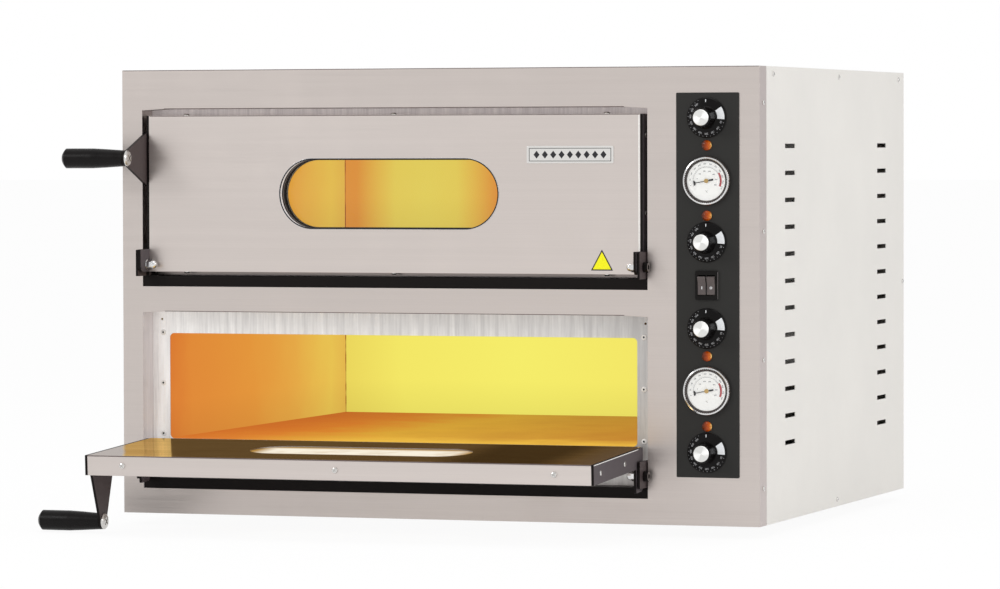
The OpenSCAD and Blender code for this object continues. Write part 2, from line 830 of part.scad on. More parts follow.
module bonding_stud() {
    color("#c8a24a") place() translate([rear_x, 0, stud_z]) {
        rod_y(thread_r, rear_y - 8, body_d + 20);
        translate([0, rear_y - gap, 0]) rotate([90, 0, 0]) cylinder(r = 5.6, h = 4, $fn = 6);
        translate([0, body_d + 4.5, 0]) rotate([90, 0, 0]) cylinder(r = 5.6, h = 4.5 - gap, $fn = 6);
    }
}

// ---------- Doors ----------

// Stadium centred on the door's window, in X and Z
module window_outline(w, h) {
    translate([window_x, window_z]) stadium(w, h);
}

// Cuts the end screws' holes through both ends of a door
module end_screw_holes(r) {
    for (e = end_screws) translate([e[0] * door_x, door_screw_y, e[1]]) rod_x(r, -2 * plate_t, 2 * plate_t);
}

module door_skin(level) {
    inset = 2 * trim_lip - 0.2;
    color(steel) on_door(level) difference() {
        block([-door_x, 0, door_lift], [door_x, skin_back - gap, door_top]);
        block([-door_x + sheet, sheet, door_lift + sheet], [door_x - sheet, door_t + cut, door_top - sheet]);
        upright(-cut, sheet + 2 * cut) window_outline(window_w - inset, window_h - inset);
        for (x = door_screw_x)
            translate([x, door_screw_y, door_lift - cut]) cylinder(r = 2, h = door_h + 2 * cut);
        end_screw_holes(2);
    }
}

module upper_door_skin() {
    door_skin(UPPER);
}

module lower_door_skin() {
    door_skin(LOWER);
}

// Inner pan: a back plate with a drip lip, and a flange all round that slides into the skin
module door_pan(level) {
    x1 = door_x - sheet - gap;
    z0 = door_lift + sheet + gap;
    z1 = door_top - sheet - gap;
    sight = 2 * (trim_lip + trim_wall + trim_ledge);
    color(bronze) on_door(level) difference() {
        union() {
            block([-door_x, skin_back, door_lift - pan_drop], [door_x, door_t, door_top]);
            block([-x1, 8, z0], [x1, skin_back + 0.5, z1]);
        }
        block([-x1 + sheet, 8 - cut, z0 + sheet], [x1 - sheet, skin_back, z1 - sheet]);
        upright(skin_back - cut, pan_t + 2 * cut) window_outline(window_w - sight, window_h - sight);
        for (x = door_screw_x)
            translate([x, door_screw_y, door_lift - cut]) cylinder(r = 1.9, h = door_h + 2 * cut);
        end_screw_holes(1.9);
    }
}

module upper_door_pan() {
    door_pan(UPPER);
}

module lower_door_pan() {
    door_pan(LOWER);
}

module door_insulation(level) {
    edge = 2 * sheet + 6;
    color(wool) on_door(level) difference() {
        block([edge - door_x, sheet + gap, door_lift + edge],
            [door_x - edge, skin_back - gap, door_top - edge]);
        upright(0, door_t) window_outline(window_w + 1, window_h + 1);
    }
}

module upper_door_insulation() {
    door_insulation(UPPER);
}

module lower_door_insulation() {
    door_insulation(LOWER);
}

module door_glass(level) {
    inset = 2 * (trim_lip + trim_wall + gap);
    color(clear) on_door(level)
        upright(glass_y, glass_t) window_outline(window_w - inset, window_h - inset);
}

module upper_door_glass() {
    door_glass(UPPER);
}

module lower_door_glass() {
    door_glass(LOWER);
}

// Collar through the door with a stepped lip on the skin and an inner ledge for the glass
module window_trim(level) {
    tube = 2 * trim_lip;
    bore = tube + 2 * trim_wall;
    sight = bore + 2 * trim_ledge;
    step = 1;
    color(chrome) on_door(level) difference() {
        union() {
            upright(-0.5, 0.5 - gap / 2) window_outline(window_w, window_h);
            upright(-1, 0.6) window_outline(window_w - step, window_h - step);
            upright(-0.5, skin_back - gap + 0.5) window_outline(window_w - tube, window_h - tube);
        }
        upright(-2, glass_y + 0.5) window_outline(window_w - bore, window_h - bore);
        upright(0, glass_y + cut) window_outline(window_w - sight, window_h - sight);
        upright(glass_y - gap, door_t) window_outline(window_w - bore, window_h - bore);
    }
}

module upper_window_trim() {
    window_trim(UPPER);
}

module lower_window_trim() {
    window_trim(LOWER);
}

// End plates with the ears that the door turns on; the ear's toe is rounded to clear the recess
module end_plates(level) {
    ear_top = door_lift + ear_h;
    ear_r = 1.5;
    color(dark) on_door(level) difference() {
        for (s = [0, 1]) mirror([s, 0, 0]) sideways(door_x + gap / 2, plate_t) difference() {
            union() {
                translate([0, hinge_z]) square([door_t, door_top - hinge_z]);
                translate([ear_toe_r - ear_reach, door_lift]) square([ear_reach - ear_toe_r + door_t, ear_h]);
                translate([ear_toe_r - ear_reach, door_lift + ear_toe_r]) circle(ear_toe_r);
                translate([-ear_reach, door_lift + ear_toe_r]) square([ear_toe_r, ear_h - ear_toe_r - ear_r]);
                translate([ear_r - ear_reach, door_lift + ear_toe_r]) square([ear_toe_r, ear_h - ear_toe_r]);
                translate([ear_r - ear_reach, ear_top - ear_r]) circle(ear_r);
            }
            translate([-hinge_y, hinge_z]) circle(shoulder_d / 2 + run_gap);
        }
        end_screw_holes(2);
    }
}

module upper_end_plates() {
    end_plates(UPPER);
}

module lower_end_plates() {
    end_plates(LOWER);
}

// Triangular plate on the left end plate that carries the grip
module handle_bracket(level) {
    x = -door_x - 2 * plate_t - gap;
    color(dark) on_door(level) sideways(x, plate_t) difference() {
        union() {
            translate([-cut, grip_z - bracket_down])
                square([door_t - 6 + cut, bracket_down + bracket_up]);
            polygon([[0, grip_z - bracket_down], [0, grip_z + bracket_up], [3 - grip_y, grip_z + tip_r],
                [3 - grip_y, grip_z - tip_r]]);
            translate([-grip_y, grip_z]) circle(tip_r);
            translate([-grip_y, grip_z - tip_r]) square([4, 2 * tip_r]);
        }
        translate([-grip_y, grip_z]) circle(grip_screw_r + 0.1);
        for (z = bracket_screw_z) translate([door_screw_y, z]) circle(1.9);
    }
}

module upper_handle_bracket() {
    handle_bracket(UPPER);
}

module lower_handle_bracket() {
    handle_bracket(LOWER);
}

// Turned grip: narrow at the bracket, widest past its middle, with a round end
module grip(level) {
    top_r = grip_d / 2;
    nose = [[0, 6], [2.4, 3.8], [5.4, 1.6], [8.2, 0.4]];
    x = door_x + 2 * plate_t + 2 * gap;
    color(black) on_door(level) translate([-x, -grip_y, grip_z]) rotate([0, -90, 0]) difference() {
        rotate_extrude() polygon(concat(
            [[0, 0], [grip_end_r - 0.8, 0], [grip_end_r, 0.8]],
            [[top_r - 0.9, grip_len * 0.3], [top_r, grip_len / 2]],
            [for (n = nose) [top_r - n[0], grip_len - n[1]]],
            [[0, grip_len]]
        ));
        translate([0, 0, -cut]) cylinder(r = grip_screw_r + 0.05, h = 50);
    }
}

module upper_grip() {
    grip(UPPER);
}

module lower_grip() {
    grip(LOWER);
}

// Handle screw, skin screws at the top and bottom edges, and end-plate screws
module door_screws(level) {
    plate_face = door_x + plate_t + gap / 2;
    color(chrome) on_door(level) {
        translate([-door_x - plate_t - gap / 2, -grip_y, grip_z])
            rotate([0, 90, 0]) screw(10.6, 4, grip_screw_r, 45);
        for (x = door_screw_x) {
            translate([x, door_screw_y, door_top]) screw(4.1, 2.8, 1.75, 6);
            translate([x, door_screw_y, door_lift]) rotate([180, 0, 0]) screw(4.1, 2.8, 1.75, 6);
        }
        for (e = end_screws) {
            on_bracket = e[0] < 0 && e[1] != plate_screw_z[0];
            translate([e[0] * (plate_face + (on_bracket ? plate_t + gap : 0)), door_screw_y, e[1]])
                rotate([0, e[0] * 90, 0]) screw(3.4, 1.7, 1.7, on_bracket ? 10 : 8);
        }
    }
}

module upper_door_screws() {
    door_screws(UPPER);
}

module lower_door_screws() {
    door_screws(LOWER);
}

module nameplate() {
    color(zinc) deck(UPPER) translate([252.5, 0, 178]) upright(-1 - gap / 2, 1) rounded(120.5, 23, 2);
}

base_pan();
feet();
front_panel();
left_side_panel();
right_side_panel();
rear_panel();
top_panel();
bay_wall();
cabinet_screws();
control_fascia();
upper_chamber_liner();
lower_chamber_liner();
upper_face_plate();
lower_face_plate();
face_plate_screws();
hinge_rails();
hinge_brackets();
hinge_bolts();
hinge_nuts();
hearth_stones();
heating_elements();
insulation();
oven_lamps();
thermostats();
capillaries();
indicator_lamps();
gauge_cases();
gauge_dials();
gauge_glasses();
switch_frame();
terminal_block();
cable_gland();
bonding_stud();
upper_door_skin();
upper_door_pan();
upper_door_insulation();
upper_door_glass();
upper_window_trim();
upper_end_plates();
upper_handle_bracket();
upper_grip();
upper_door_screws();
nameplate();
lower_door_skin();
lower_door_pan();
lower_door_insulation();
lower_door_glass();
lower_window_trim();
lower_end_plates();
lower_handle_bracket();
lower_grip();
lower_door_screws();
upper_top_knob();
upper_floor_knob();
lower_top_knob();
lower_floor_knob();
upper_pointer();
lower_pointer();
left_rocker();
right_rocker();
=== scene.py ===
"""Looks, light and camera for a two-deck pizza oven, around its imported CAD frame.

Places are in metres: X to the right as seen from the front, Y to the back, Z up from where the feet stand."""
import json
import math
from collections import Counter

import bmesh
import bpy
from mathutils import Matrix, Vector

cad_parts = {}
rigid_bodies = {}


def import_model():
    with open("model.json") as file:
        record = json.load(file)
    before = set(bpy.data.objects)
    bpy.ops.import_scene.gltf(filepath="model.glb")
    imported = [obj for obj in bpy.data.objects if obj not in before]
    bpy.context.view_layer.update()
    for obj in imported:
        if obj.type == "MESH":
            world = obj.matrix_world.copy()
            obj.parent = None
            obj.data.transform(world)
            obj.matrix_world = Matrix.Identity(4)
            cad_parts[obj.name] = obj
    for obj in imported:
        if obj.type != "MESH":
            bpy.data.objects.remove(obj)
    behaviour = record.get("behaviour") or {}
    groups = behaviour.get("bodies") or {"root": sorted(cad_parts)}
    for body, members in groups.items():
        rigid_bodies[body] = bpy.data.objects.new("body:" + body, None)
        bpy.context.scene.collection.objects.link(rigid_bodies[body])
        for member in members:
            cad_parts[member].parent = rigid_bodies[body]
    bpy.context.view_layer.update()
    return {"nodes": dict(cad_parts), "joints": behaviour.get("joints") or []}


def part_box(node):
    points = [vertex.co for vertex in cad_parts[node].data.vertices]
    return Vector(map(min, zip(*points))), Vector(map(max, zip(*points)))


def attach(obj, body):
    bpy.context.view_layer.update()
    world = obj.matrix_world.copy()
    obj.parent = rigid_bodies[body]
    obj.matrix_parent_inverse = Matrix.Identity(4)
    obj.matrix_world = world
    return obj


for thing in list(bpy.data.objects):
    bpy.data.objects.remove(thing)

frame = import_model()
nodes = frame["nodes"]
joints = {joint["child"]: joint for joint in frame["joints"]}

MM = 0.001
DECKS = ("upper", "lower")


def pivot(body):
    """Point that a moving body turns about."""
    return Vector(joints[body]["pos_m"])


def middle(name):
    """Centre of a CAD node's box."""
    low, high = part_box(name)
    return (low + high) / 2


FRONT_LOW, FRONT_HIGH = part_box("front_panel")
FRONT = FRONT_LOW.y
CONTROL_X = pivot("upper_pointer").x
DECK_STEP = pivot("upper_door").z - pivot("lower_door").z
CHAMBER_X = middle("upper_chamber_liner").x
# Inner half width of the chambers, and their reach from the opening to the back
CHAMBER_HALF = 0.335
CHAMBER_Y = (-0.345, 0.332)

# The camera's place, its turn to the left, tilt down and roll in radians, and its lens in millimetres
CAMERA_AT = (2.2071, -6.5761, 0.5176)
CAMERA_YAW, CAMERA_PITCH, CAMERA_ROLL = 0.329, 0.0306, -0.0025
CAMERA_LENS = 177.69

# What the mirror-like pans show of the lit chambers
MIRRORED_DARK = (0.112, 0.100, 0.104)


# ---------------------------------------------------------------- shader helpers

class Shader:
    """A procedural material round one Principled shader, in coordinates that are the scene's at rest."""

    def __init__(self, name, **inputs):
        self.mat = bpy.data.materials.new(name)
        self.mat.use_nodes = True
        self.tree = self.mat.node_tree
        self.bsdf = next(n for n in self.tree.nodes if n.type == "BSDF_PRINCIPLED")
        self.out = next(n for n in self.tree.nodes if n.type == "OUTPUT_MATERIAL")
        self.coords = self.add("ShaderNodeTexCoord").outputs["Object"]
        self.set(**inputs)

    def put(self, socket, value):
        """Links a socket to another one, or sets its value."""
        if isinstance(value, bpy.types.NodeSocket):
            self.tree.links.new(value, socket)
        elif socket.type == "RGBA" and len(value) == 3:
            socket.default_value = (*value, 1)
        else:
            socket.default_value = value

    def set(self, **inputs):
        for key, value in inputs.items():
            self.put(self.bsdf.inputs[key.replace("_", " ")], value)

    def add(self, kind, inputs=(), **props):
        node = self.tree.nodes.new(kind)
        for key, value in props.items():
            setattr(node, key, value)
        for key, value in dict(inputs).items():
            self.put(node.inputs[key], value)
        return node

    def noise(self, scale, detail=3, roughness=0.55):
        """Noise with its own scale along X, Y and Z, in features per metre."""
        mapping = self.add("ShaderNodeMapping", {"Vector": self.coords, "Scale": scale})
        texture = self.add("ShaderNodeTexNoise", {
            "Vector": mapping.outputs[0], "Scale": 1, "Detail": detail, "Roughness": roughness})
        return texture.outputs["Fac"]

    def axis(self, letter):
        """One coordinate of the shaded point."""
        return self.add("ShaderNodeSeparateXYZ", {0: self.coords}).outputs[letter]

    def facing(self, letter):
        """How far the surface's normal points along an axis of the world, either way, from 0 to 1."""
        normal = self.add("ShaderNodeNewGeometry").outputs["Normal"]
        part = self.add("ShaderNodeSeparateXYZ", {0: normal}).outputs[letter]
        return self.math("ABSOLUTE", part)

    def math(self, operation, a, b=0.0, clamp=False):
        return self.add("ShaderNodeMath", {0: a, 1: b}, operation=operation, use_clamp=clamp).outputs[0]

    def span(self, value, low, high, to_low=0.0, to_high=1.0, smooth=False):
        """Maps low..high to to_low..to_high, clamped."""
        return self.add("ShaderNodeMapRange", {
            "Value": value, "From Min": low, "From Max": high, "To Min": to_low, "To Max": to_high,
        }, interpolation_type="SMOOTHSTEP" if smooth else "LINEAR").outputs[0]

    def mix(self, factor, a, b, blend="MIX"):
        node = self.add("ShaderNodeMix", data_type="RGBA", blend_type=blend)
        for index, value in ((0, factor), (6, a), (7, b)):
            self.put(node.inputs[index], value)
        return node.outputs[2]

    def grey(self, value):
        return self.add("ShaderNodeCombineColor", {0: value, 1: value, 2: value}).outputs[0]

    def own_normal(self, letter):
        """One part of the surface's normal, in the object's own frame, so that it turns with the object."""
        normal = self.add("ShaderNodeTexCoord").outputs["Normal"]
        return self.add("ShaderNodeSeparateXYZ", {0: normal}).outputs[letter]

    def shaded(self, colour, value):
        """The colour times a grey of the given value."""
        return self.mix(1.0, colour, self.grey(value), "MULTIPLY")

    def ramp(self, factor, stops):
        """Colour at a factor from 0 to 1, between stops that each have a position and a colour."""
        node = self.add("ShaderNodeValToRGB", {0: factor})
        elements = node.color_ramp.elements
        while len(elements) < len(stops):
            elements.new(0.5)
        for element, (position, colour) in zip(elements, stops):
            element.position = position
            element.color = (*colour, 1)
        return node.outputs[0]

    def round_edges(self, radius):
        """Normal that looks as if sharp edges were rounded."""
        return self.add("ShaderNodeBevel", {"Radius": radius}, samples=4).outputs[0]

    def bump(self, height, distance, normal=None):
        node = self.add("ShaderNodeBump", {"Height": height, "Distance": distance})
        if normal is not None:
            self.put(node.inputs["Normal"], normal)
        return node.outputs[0]


def srgb(r, g, b):
    """Linear colour from 8-bit display values."""
    return tuple((c / 255 / 12.92) if c <= 10 else ((c / 255 + 0.055) / 1.055) ** 2.4 for c in (r, g, b))


def lighter(colour, factor):
    return tuple(min(1.0, c * factor) for c in colour)


def brushed(name, base, grain=(6, 900, 900), rough=(0.30, 0.42), metallic=1.0):
    """Brushed sheet metal: long fine scratches, soft bands and faint smudges.

    It grows brighter from left to right as painted light, and is duller in the bottom left corner as painted
    shade."""
    s = Shader(name, Metallic=metallic)
    fine = s.noise(grain, detail=2)
    streak = s.noise(tuple(g * 0.12 for g in grain), detail=3)
    cloud = s.noise((2.2, 2.2, 3.2), detail=2)
    smudge = s.noise((14, 14, 9), detail=4, roughness=0.65)
    colour = s.mix(s.span(streak, 0.3, 0.7), lighter(base, 0.98), lighter(base, 1.02))
    colour = s.mix(s.span(cloud, 0.35, 0.65, 0, 0.6), colour, lighter(base, 1.02))
    colour = s.mix(s.span(fine, 0.35, 0.75, 0, 0.07), colour, lighter(base, 0.7))
    x = s.axis("X")
    # Painted shade: darker in the bottom left corner
    corner = s.math("MULTIPLY", s.span(x, FRONT_LOW.x, FRONT_LOW.x + 0.18, 0.17, 0, smooth=True),
                    s.span(s.axis("Z"), 0.03, 0.10, 1, 0, smooth=True))
    # Painted light: brighter from left to right
    sheen = s.span(x, FRONT_LOW.x + 0.03, FRONT_HIGH.x - 0.03, 0.97, 1.045)
    s.set(Base_Color=s.shaded(colour, s.math("SUBTRACT", sheen, corner)))
    s.set(Roughness=s.math("ADD", s.span(fine, 0.3, 0.7, *rough), s.span(smudge, 0.5, 0.8, 0, 0.08)))
    s.set(Normal=s.bump(fine, 0.02 * MM, s.round_edges(0.4 * MM)))
    return s.mat


def painted(name, base, rough=0.42, specular=0.5, peel=0.03):
    """Powder paint: fine orange peel of the given depth in millimetres, faint clouding and dark specks."""
    s = Shader(name, Specular_IOR_Level=specular)
    peel_height = s.noise((1400, 1400, 1400), detail=2)
    cloud = s.noise((5, 5, 5), detail=4, roughness=0.6)
    speck = s.noise((420, 420, 420), detail=1)
    colour = s.mix(s.span(cloud, 0.3, 0.7), lighter(base, 0.97), lighter(base, 1.03))
    colour = s.mix(s.span(speck, 0.66, 0.74, 0, 0.25), colour, lighter(base, 0.8))
    s.set(Base_Color=colour, Roughness=s.span(cloud, 0.3, 0.7, rough - 0.06, rough + 0.06))
    s.set(Normal=s.bump(peel_height, peel * MM, s.round_edges(0.5 * MM)))
    return s.mat


def plastic(name, base, rough=0.4, specular=0.3, grain=1800, depth=0.02, wear=0.5):
    """Moulded plastic with a fine grain, its depth in millimetres, and paler handled patches."""
    s = Shader(name, Specular_IOR_Level=specular)
    fine = s.noise((grain,) * 3, detail=2)
    patch = s.noise((60, 60, 60), detail=3)
    colour = s.mix(s.span(patch, 0.45, 0.75, 0, wear), base, lighter(base, 1.6))
    s.set(Base_Color=colour, Roughness=s.span(patch, 0.3, 0.7, rough - 0.08, rough + 0.1))
    s.set(Normal=s.bump(fine, depth * MM, s.round_edges(0.4 * MM)))
    return s.mat


def galvanised(name, light, dark, left=1.0, right=1.0, lifts=()):
    """Zinc-coated sheet: a faint spangle under vertical streaks, shaded from left to right.

    A glow stands for light caught in a recess. It is the product of the lifts, each an axis and the limits
    that span() takes."""
    s = Shader(name, Metallic=0.85)
    streak = s.noise((160, 160, 9), detail=4, roughness=0.6)
    spangle = s.add("ShaderNodeTexVoronoi", {"Vector": s.coords, "Scale": 160}).outputs["Color"]
    grey = s.add("ShaderNodeSeparateColor", {0: spangle}).outputs[0]
    colour = s.mix(s.span(streak, 0.34, 0.68), dark, light)
    colour = s.mix(s.span(grey, 0, 1, 0, 0.14), colour, dark)
    colour = s.shaded(colour, s.span(s.axis("X"), CHAMBER_X - 0.338, CHAMBER_X + 0.342, left, right))
    glow = 1.0 if lifts else 0.0
    for letter, *limits in lifts:
        glow = s.math("MULTIPLY", s.span(s.axis(letter), *limits), glow)
    s.set(Base_Color=colour, Roughness=s.span(streak, 0.3, 0.7, 0.34, 0.5))
    s.set(Emission_Color=colour, Emission_Strength=glow)
    s.set(Normal=s.bump(streak, 0.03 * MM, s.round_edges(0.3 * MM)))
    return s.mat


def polished(name, base, rough=0.08):
    """Plated or turned metal with faint wiping marks."""
    s = Shader(name, Metallic=1.0)
    wipe = s.noise((90, 90, 30), detail=4)
    colour = s.mix(s.span(wipe, 0.4, 0.7, 0, 0.25), base, lighter(base, 0.85))
    s.set(Base_Color=colour, Roughness=s.span(wipe, 0.3, 0.7, rough, rough + 0.10))
    s.set(Normal=s.bump(wipe, 0.01 * MM, s.round_edges(0.25 * MM)))
    return s.mat


def ink(name, base, rough=0.5, glow=0.0):
    """Printed or enamelled marks, a little uneven."""
    s = Shader(name, Specular_IOR_Level=0.3)
    mottle = s.noise((900, 900, 900), detail=2)
    colour = s.mix(s.span(mottle, 0.3, 0.7), lighter(base, 0.9), lighter(base, 1.05))
    s.set(Base_Color=colour, Roughness=s.span(mottle, 0.3, 0.7, rough - 0.05, rough + 0.05))
    s.set(Normal=s.bump(mottle, 0.005 * MM))
    # A glow is painted light that brightens the marks
    if glow:
        s.set(Emission_Color=base, Emission_Strength=glow)
    return s.mat


def clear_glass(name, tint, strength, slant_reflection=None):
    """Thin clear glass: see-through, with a mirror reflection that grows at a slant.

    A painted reflection hides what lies behind at a slant, pale in the middle and deeper towards the rim. It
    has a colour, a rim's colour, a centre and a reach."""
    s = Shader(name)
    smear = s.noise((30, 30, 30), detail=3)
    clear = s.add("ShaderNodeBsdfTransparent", {"Color": tint}).outputs[0]
    gloss = s.add("ShaderNodeBsdfGlossy", {
        "Color": (1, 1, 1), "Roughness": s.span(smear, 0.3, 0.7, 0.02, 0.08)}).outputs[0]
    fresnel = s.add("ShaderNodeFresnel", {"IOR": 1.45}).outputs[0]
    share = s.math("MULTIPLY", fresnel, strength)
    both = s.add("ShaderNodeMixShader", {0: share, 1: clear, 2: gloss}).outputs[0]
    # Painted reflection: a glow seen at a slant instead of the glass
    if slant_reflection:
        slant = s.add("ShaderNodeLayerWeight", {"Blend": 0.5}).outputs["Facing"]
        colour, rim, centre, reach = slant_reflection
        off_x = s.math("ABSOLUTE", s.math("SUBTRACT", s.axis("X"), centre.x))
        off_y = s.math("ABSOLUTE", s.math("SUBTRACT", s.axis("Y"), centre.y))
        along = s.span(off_x, reach.x - 30 * MM, reach.x - 6 * MM)
        aside = s.span(off_y, reach.y - 22 * MM, reach.y - 4 * MM)
        away = s.math("MAXIMUM", along, s.math("MAXIMUM", aside, s.span(smear, 0.45, 0.75, 0, 0.4)))
        glow = s.add("ShaderNodeEmission", {"Color": s.mix(away, colour, rim)}).outputs[0]
        both = s.add("ShaderNodeMixShader", {0: s.span(slant, 0.74, 0.86), 1: both, 2: glow}).outputs[0]
    s.put(s.out.inputs["Surface"], both)
    return s.mat


# ---------------------------------------------------------------- materials

steel = brushed("brushed_front_steel", srgb(206, 197, 192))
door_steel = brushed("brushed_door_steel", srgb(213, 204, 199))
cream = painted("cream_paint", srgb(231, 228, 223), rough=0.5, specular=0.25)
fascia = painted("dark_fascia_paint", srgb(36, 35, 33), rough=0.5, specular=0.30, peel=0.02)
black_paint = painted("black_paint", srgb(17, 12, 11), rough=0.45, specular=0.12)
dark_steel = brushed("dark_end_steel", srgb(108, 101, 103), (500, 14, 500), (0.35, 0.5), metallic=0.7)
plate_steel = brushed("nameplate_steel", srgb(229, 227, 224), rough=(0.25, 0.35))
# Darker copy of the front steel, painted shade on the flange turned to the right
shaded_flange_steel = brushed("shaded_flange_steel", srgb(196, 185, 182))
bolt_grey = polished("bolt_end", srgb(120, 114, 112), rough=0.3)
# Lit copies of black paint, painted light on the flat sides of the plates and brackets
end_lit_sides = painted("end_plate_lit_sides", srgb(88, 81, 84), rough=0.5, specular=0.2)
bracket_lit_sides = painted("bracket_lit_sides", srgb(78, 68, 68), rough=0.5, specular=0.2)
# Painted dark reflection for the chrome lip of the window trims
dark_reflected_lip = polished("trim_lip", srgb(48, 48, 53), rough=0.25)
tube_black = painted("trim_tube", srgb(14, 13, 13), rough=0.18, specular=0.6)
# Lit grey copy of the switch frame's black plastic, a painted highlight on its right side
frame_side = painted("frame_side_highlight", srgb(128, 122, 122), rough=0.5, specular=0.2)
zinc = galvanised("galvanised_sheet", srgb(236, 233, 229), srgb(208, 204, 200), 1.06, 0.84)
low_zinc = galvanised("galvanised_low_recess", srgb(238, 236, 234), srgb(206, 203, 201), 1.06, 0.84,
                      (("X", -0.400, -0.365, 0.29, 0.15), ("X", 0.18, 0.28, 1, 0.05)))
# Lit copy of the zinc with a painted glow, painted light on the lower recess's left wall
lit_recess_side = galvanised("lit_recess_side", srgb(214, 208, 208), srgb(196, 189, 189),
                         lifts=(("Z", 0, 0.3, 0.22, 0.16),))
high_zinc = galvanised("galvanised_high_recess", srgb(236, 228, 227), srgb(196, 187, 187), 1.0, 0.95,
                       (("Z", 0.545, 0.556, 0, 0.17),))
chrome = polished("chrome_plate", srgb(225, 225, 225))
screw_zinc = polished("zinc_screws", srgb(215, 213, 210), rough=0.2)
brass = polished("brass_fittings", srgb(205, 172, 110), rough=0.25)
copper = polished("capillary_tube", srgb(190, 130, 90), rough=0.3)
knob_black = plastic("knob_plastic", srgb(10, 8, 8), rough=0.32, specular=0.14)
grip_black = plastic("grip_plastic", srgb(13, 10, 10), rough=0.28, specular=0.16, grain=500, depth=0.01,
                     wear=0.3)
frame_black = plastic("switch_frame_plastic", srgb(14, 11, 10), rough=0.4, specular=0.15)
rocker_grey = plastic("rocker_plastic", srgb(88, 80, 79), rough=0.35, specular=0.35, wear=0.6)
rubber = plastic("foot_rubber", srgb(26, 25, 25), rough=0.75, specular=0.2, grain=700, depth=0.06)
bake_black = plastic("terminal_plastic", srgb(30, 28, 27), rough=0.5)
# The dial, the white print and the sticker get a faint painted glow
dial_white = ink("dial_enamel", srgb(247, 247, 244), rough=0.35, glow=0.25)
# Pale metal for the rivets, also used for painted highlights, with a faint painted glow
pale_rivets_and_highlights = ink("rivet_metal_and_highlights", srgb(228, 226, 223), rough=0.35, glow=0.16)
bezel_dark = ink("bezel_shadow", srgb(66, 56, 52), rough=0.35)
# Painted shadow lines along gaps and edges
shadow_line_ink = ink("seam_shadow", srgb(82, 66, 64))
ink_white = ink("white_print", srgb(226, 228, 230), glow=0.08)
ink_pale = ink("pale_print", srgb(168, 168, 170))
ink_black = ink("black_print", srgb(40, 40, 44))
ink_grey = ink("grey_print", srgb(120, 124, 132))
ink_red = ink("red_print", srgb(205, 88, 92))
sticker_yellow = ink("yellow_sticker", srgb(240, 236, 20), rough=0.35, glow=0.12)
window_glass = clear_glass("window_glass", (0.97, 0.96, 0.9), 0.45)
glass_low, glass_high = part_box("lower_door_glass")
# The open door's glass gets a painted reflection at a slant
open_glass = clear_glass("open_window_glass", (0.97, 0.96, 0.9), 0.45, (
    srgb(250, 241, 222), srgb(176, 134, 66), (glass_low + glass_high) / 2, (glass_high - glass_low) / 2))
gauge_glass = clear_glass("gauge_glass", (0.98, 0.98, 0.98), 0.5)


def spun_cap(name, centre):
    """Turned aluminium disc, finely matt, with two brighter wedges from its centre as painted highlights, and
    a faint painted glow.
    """
    s = Shader(name, Metallic=0.9)
    fine = s.noise((1500, 1500, 1500), detail=2)
    cloud = s.noise((120, 120, 120), detail=2)
    up = s.math("SUBTRACT", s.axis("Z"), centre.z)
    across = s.math("SUBTRACT", s.axis("X"), centre.x)
    turn = s.math("ARCTAN2", up, across)
    # Painted highlight: two bright wedges that turn round the centre
    wedge = s.math("SINE", s.math("ADD", s.math("MULTIPLY", turn, 2.0), s.span(cloud, 0.3, 0.7, 0.1, 1.1)))
    s.set(Base_Color=s.mix(s.span(wedge, -0.2, 0.9), srgb(214, 214, 211), srgb(252, 252, 250)),
          Roughness=s.span(fine, 0.3, 0.7, 0.32, 0.48),
          Emission_Color=(1, 1, 1), Emission_Strength=0.12)
    s.set(Normal=s.bump(fine, 0.01 * MM, s.round_edges(0.3 * MM)))
    return s.mat


def trim_tube():
    """Inside of the shut door's window trim: black, with pale rings near the front where it faces right as
    painted highlights, and a faint painted glow.
    """
    s = Shader("window_tube", Specular_IOR_Level=0.5, Roughness=0.2)
    waver = s.noise((60, 60, 60), detail=2)
    depth = s.math("SUBTRACT", s.axis("Y"), FRONT)
    depth = s.math("ADD", depth, s.span(waver, 0.3, 0.7, -0.4 * MM, 0.4 * MM))
    depth = s.span(depth, -1 * MM, 25 * MM)
    # Painted highlights: pale rings near the front, on faces turned to the right
    bright = s.ramp(depth, [(0, srgb(50, 50, 54)), (0.05, srgb(236, 236, 238)), (0.20, srgb(226, 226, 228)),
                            (0.25, srgb(40, 37, 36)), (0.40, srgb(16, 14, 14)), (0.46, srgb(130, 122, 118)),
                            (0.52, srgb(16, 14, 14)), (1, srgb(12, 10, 10))])
    colour = s.mix(s.span(s.own_normal("X"), 0.15, 0.55), srgb(14, 13, 13), bright)
    s.set(Base_Color=colour, Emission_Color=colour, Emission_Strength=0.25)
    s.set(Normal=s.bump(waver, 0.01 * MM))
    return s.mat


def amber_lens():
    """Amber signal lamp, brighter towards its right side, where its lens gathers the light."""
    s = Shader("amber_lens", Specular_IOR_Level=0.3, Roughness=0.12)
    swirl = s.noise((500, 500, 500), detail=2)
    across = s.math("SUBTRACT", s.axis("X"), CONTROL_X)
    side = s.span(s.math("ADD", across, s.span(swirl, 0.3, 0.7, -1 * MM, 1 * MM)), -4 * MM, 6.8 * MM)
    colour = s.ramp(side, [(0, srgb(78, 28, 6)), (0.55, srgb(160, 64, 8)), (0.85, srgb(196, 100, 18)),
                           (1, srgb(244, 206, 128))])
    s.set(Base_Color=colour, Emission_Color=colour, Emission_Strength=0.14)
    s.set(Normal=s.bump(swirl, 0.05 * MM))
    return s.mat


